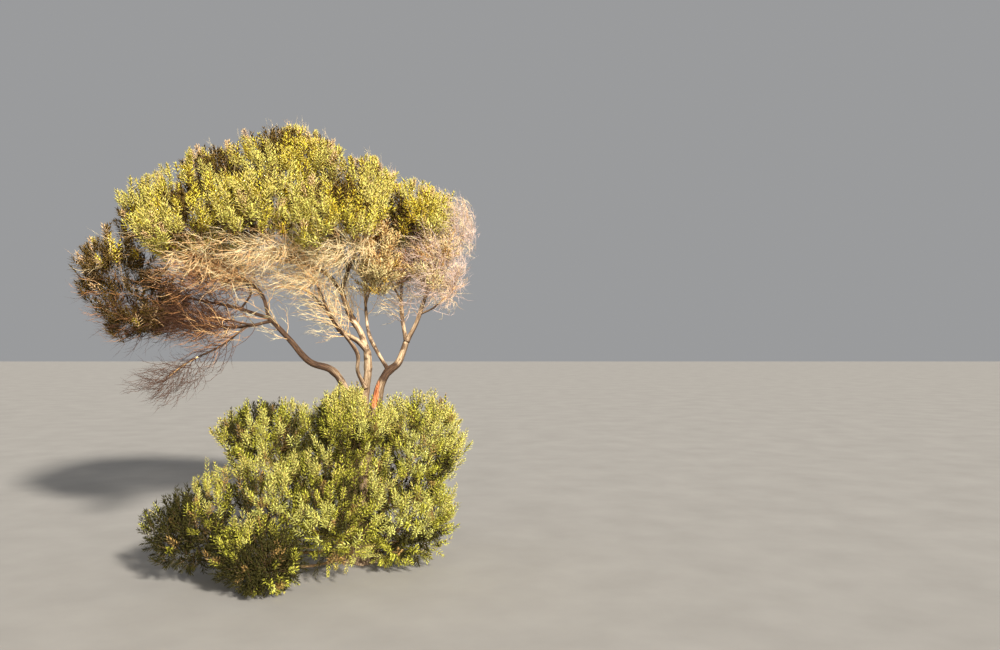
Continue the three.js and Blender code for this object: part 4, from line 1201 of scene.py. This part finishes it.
def boughs():
    """The thinner limbs: rods that flare where they leave their parent, with the bark's relief."""
    pile = Pile()
    for name in THIN_LIMBS:
        path, radius = limb_stations(LIMBS[name], BOUGH_STEP)
        far = np.arange(len(path)) * BOUGH_STEP
        flare = 1 + FOOT_FLARE["share"] * np.exp(-far / (FOOT_FLARE["reach"] * LIMBS[name].foot))
        rods(pile, path[None], radius * flare, BOUGH_SIDES)
    return carved(pile.mesh("boughs"), THIN_LIMBS)


# Finishes

def daylight(colour):
    """A colour from 0 to 255 as the linear values that light works in, with full cover."""
    share = np.array(colour) / 255
    linear = np.where(share <= 0.04045, share / 12.92, ((share + 0.055) / 1.055) ** 2.4)
    return (*linear.tolist(), 1.0)


class Finish:
    """A material made of nodes, with short calls to add and link them."""

    def __init__(self, name):
        self.material = bpy.data.materials.new(name)
        self.material.use_nodes = True
        self.tree = self.material.node_tree
        self.shader = self.tree.nodes["Principled BSDF"]
        self.place = self.node("ShaderNodeTexCoord").outputs["Object"]

    def node(self, kind, values=None, **settings):
        """Adds a node, sets its settings, and sets or links its inputs."""
        made = self.tree.nodes.new(kind)
        for key, value in settings.items():
            setattr(made, key, value)
        for key, value in (values or {}).items():
            self.put(value, made.inputs[key])
        return made

    def put(self, value, socket):
        """Links an output to a socket, or sets the socket's own value."""
        if isinstance(value, bpy.types.NodeSocket):
            self.tree.links.new(value, socket)
        else:
            socket.default_value = value

    def kept(self, name, output="Fac"):
        """A value or, with another output, a vector that the mesh keeps under a name."""
        return self.node("ShaderNodeAttribute", attribute_name=name).outputs[output]

    def ramp(self, share, stops):
        """A colour for each share, blended between stops of place and colour."""
        made = self.node("ShaderNodeValToRGB", {"Fac": share})
        elements = made.color_ramp.elements
        for _ in range(len(stops) - 2):
            elements.new(0.5)
        for element, (place, colour) in zip(elements, stops):
            element.position = place
            element.color = daylight(colour)
        return made.outputs["Color"]

    def mixed(self, share, first, second):
        """Two colours blended by a share."""
        made = self.node("ShaderNodeMix", data_type="RGBA")
        for key, value in ((0, share), (6, first), (7, second)):
            self.put(value, made.inputs[key])
        return made.outputs[2]

    def spread(self, value, low, high, start=0.0, end=1.0):
        """From low, where a value is at the start, to high, where it is at the end."""
        values = {"Value": value, "From Min": start, "From Max": end, "To Min": low, "To Max": high}
        return self.node("ShaderNodeMapRange", values).outputs["Result"]

    def math(self, operation, first, second):
        """The result of an operation on two values."""
        return self.node("ShaderNodeMath", {0: first, 1: second}, operation=operation).outputs[0]

    def noise(self, where, scale, detail=3.0, roughness=0.55):
        """Noise from 0 to 1 at a place."""
        values = {"Vector": where, "Scale": scale, "Detail": detail, "Roughness": roughness}
        return self.node("ShaderNodeTexNoise", values).outputs["Fac"]

    def bump(self, height, distance, strength=1.0):
        """Fine relief in the shading."""
        values = {"Height": height, "Distance": distance, "Strength": strength}
        self.put(self.node("ShaderNodeBump", values).outputs["Normal"], self.shader.inputs["Normal"])

    def finish(self, colour, roughness, specular=0.5):
        """Sets the surface's colour and roughness, and gives the material."""
        self.put(colour, self.shader.inputs["Base Color"])
        self.put(roughness, self.shader.inputs["Roughness"])
        self.shader.inputs["Specular IOR Level"].default_value = specular
        return self.material


def bark_finish():
    """Pale bark: fibres along the grain in three tones, weathered patches, dark undersides and lee limbs,
    which are damp and painted shade, dark blots, and orange wood where torn."""
    bark = Finish("bark")
    drawn = {"Vector": bark.kept("grain", "Vector"), "Scale": (1, 1, 0.09)}
    drawn = bark.node("ShaderNodeMapping", drawn).outputs["Vector"]
    fibres = bark.noise(drawn, scale=150, detail=5.0, roughness=0.65)
    plates = bark.noise(drawn, scale=46)
    patches = bark.spread(bark.noise(bark.place, scale=5.5), low=0.1, high=0.75)
    colour = bark.mixed(patches, bark.ramp(fibres, BARK_TONES), bark.ramp(plates, WEATHERED_TONES))
    # The dark undersides, lee limbs and shadowed places: damp and painted shade
    damp_and_shade = bark.math("MULTIPLY", bark.kept("damp_and_shade"), bark.spread(plates, low=0.75, high=1.5))
    blots = bark.noise(bark.place, scale=13, detail=4.0)
    blots = bark.spread(blots, low=0.0, high=0.85, start=0.5, end=0.6)
    colour = bark.mixed(bark.math("MAXIMUM", damp_and_shade, blots), colour, bark.ramp(fibres, DAMP_AND_SHADE_TONES))
    colour = bark.mixed(bark.kept("torn"), colour, bark.ramp(fibres, TORN_TONES))
    bark.bump(bark.mixed(0.5, fibres, plates), distance=0.004, strength=0.8)
    return bark.finish(colour, bark.spread(fibres, low=0.95, high=0.72), specular=0.3)


def toned(colour, share):
    """A colour made darker or paler by a share."""
    return tuple(min(255, share * c) for c in colour)


def twig_finish(name, colour):
    """Thin wood: its colour broken up by darker and paler lengths."""
    twig = Finish(name)
    lengths = twig.noise(twig.place, scale=14, detail=4.0, roughness=0.7)
    tone = twig.ramp(lengths, [(0.3, toned(colour, 0.62)), (0.5, colour), (0.72, toned(colour, 1.1))])
    twig.bump(twig.noise(twig.place, scale=260, detail=2.0), distance=0.0006)
    return twig.finish(tone, twig.spread(lengths, low=0.9, high=0.75), specular=0.3)


def leaf_finish(name, colour, roughness):
    """A leathery leaf: its tint varies a little from leaf to leaf, with a faint waxy gloss."""
    leaf = Finish(name)
    blotches = leaf.noise(leaf.place, scale=55, detail=2.0)
    tone = leaf.ramp(blotches, [(0.35, toned(colour, 0.72)), (0.65, toned(colour, 1.14))])
    leaf.bump(leaf.noise(leaf.place, scale=420, detail=2.0), distance=0.0004)
    uneven = leaf.spread(blotches, low=roughness + 0.12, high=roughness)
    return leaf.finish(tone, uneven, specular=0.22)


def leaf_finishes(name, tints, underside):
    """The upper faces' tints and, last, the underside."""
    finishes = [leaf_finish(f"{name}_{rank}", tint, roughness=0.5) for rank, tint in enumerate(tints)]
    return [*finishes, leaf_finish(f"{name}_underside", underside, roughness=0.75)]


# Pieces

def set_up(mesh, name, finishes, nodes):
    """Makes a mesh a piece of the tree, in the place of the solids that it stands for."""
    piece = placed(name, mesh)
    for finish in finishes:
        mesh.materials.append(finish)
    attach(piece, "root")
    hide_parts(*nodes)


def foliage(names):
    """The nodes of the named masses."""
    return [f"foliage_{name}" for name in names]


bark = bark_finish()
for shape, nodes in ((trunk_and_stems, ["trunk", *MELTED_LIMBS]), (boughs, THIN_LIMBS)):
    mesh = shape()
    mesh.shade_smooth()
    set_up(mesh, shape.__name__, [bark], nodes)

leaf_piles = {piece: Pile() for piece in LEAF_PIECES}
home = {name: leaf_piles[piece] for piece, inside in LEAF_PIECES.items() for name in inside}
crown_wood, skirt_wood, dead_wood, dead_tips = Pile(), Pile(), Pile(), Pile()
for name, mass in MASSES.items():
    live_wood = skirt_wood if name in SKIRT else crown_wood
    grow_mass(name, SEEDS[name], home.get(name), live_wood, dead_wood if name in BARE else dead_tips)
add_side_twigs(dead_wood)

LEAF_FINISHES = {
    "crown_leaves": leaf_finishes("crown_leaf", CROWN_TINTS, UNDERSIDE),
    "skirt_leaves": leaf_finishes("skirt_leaf", SKIRT_TINTS, UNDERSIDE),
    "brown_leaves": leaf_finishes("brown_leaf", BROWN_TINTS, BROWN_UNDERSIDE),
}
for piece, inside in LEAF_PIECES.items():
    slot = next(slot for slot in LEAF_FINISHES if piece.startswith(slot))
    set_up(leaf_piles[piece].mesh(piece), piece, LEAF_FINISHES[slot], foliage(inside))

live = [twig_finish("live_twig", LIVE_TWIG)]
dead = [twig_finish(f"dead_twig_{rank}", tone) for rank, tone in enumerate(DEAD_TONES)]
for piece, pile, finishes, slot, inside in (
    ("crown_twigs", crown_wood, live, "bark", CROWN), ("skirt_twigs", skirt_wood, live, "bark", SKIRT),
    ("dead_twigs", dead_wood, dead, "bare_twigs", BARE), ("dead_tips", dead_tips, dead, "bare_twigs", CROWN),
):
    set_up(pile.mesh(piece), piece, finishes, foliage(inside))

# The stage: a pale floor, a warm key light from the upper right, a soft fill, and the photograph's view
FLOOR_REACH = 60.0
KEY = {"place": (12.5, -20.0, 13.5), "power": 7.4, "colour": (1.0, 0.94, 0.84), "angle": 0.1}
FILL = {"place": (2.0, -14.0, 3.0), "power": 1.9, "colour": (1.0, 0.97, 0.93), "angle": 0.8}
LIGHT_AIM = Vector((-0.5, 0, 1.8))
WORLD_COLOUR = (0.90, 0.91, 0.93, 1)
WORLD_STRENGTH = 0.36
CAMERA_PLACE = (1.25, -8.0, 2.045)
CAMERA_LENS = 31.68
CAMERA_SENSOR = 36.0
CAMERA_SHIFT = 0.01


def floor():
    """A wide level floor at the height of the tree's foot, with a faint mottle."""
    pile = Pile()
    corners = FLOOR_REACH * np.array([(-1, -1, 0), (1, -1, 0), (1, 1, 0), (-1, 1, 0)], float)
    pile.add(corners[None], np.array([(0, 1, 2), (0, 2, 3)]))
    mesh = pile.mesh("floor")
    pale = Finish("floor")
    mottle = pale.noise(pale.place, scale=1.5, detail=4.0)
    mesh.materials.append(pale.finish(pale.ramp(mottle, FLOOR_TONES), roughness=0.9))
    placed("floor", mesh)


def sun_lamp(name, place, power, colour, angle):
    """A sun lamp that shines from a place to the middle of the tree."""
    lamp = bpy.data.lights.new(name, "SUN")
    lamp.energy = power
    lamp.color = colour
    lamp.angle = angle
    piece = placed(name, lamp)
    piece.location = place
    piece.rotation_euler = (LIGHT_AIM - Vector(place)).to_track_quat("-Z", "Y").to_euler()


floor()
sun_lamp("key", **KEY)
sun_lamp("fill", **FILL)
world = bpy.data.worlds.new("studio")
world.use_nodes = True
world.node_tree.nodes["Background"].inputs["Color"].default_value = WORLD_COLOUR
world.node_tree.nodes["Background"].inputs["Strength"].default_value = WORLD_STRENGTH
bpy.context.scene.world = world
bpy.context.scene.view_settings.view_transform = "Standard"

camera = placed("camera", bpy.data.cameras.new("camera"))
camera.location = CAMERA_PLACE
camera.rotation_euler = (np.pi / 2, 0, 0)
camera.data.lens = CAMERA_LENS
camera.data.sensor_width = CAMERA_SENSOR
camera.data.shift_y = CAMERA_SHIFT
bpy.context.scene.camera = camera

bpy.context.view_layer.update()
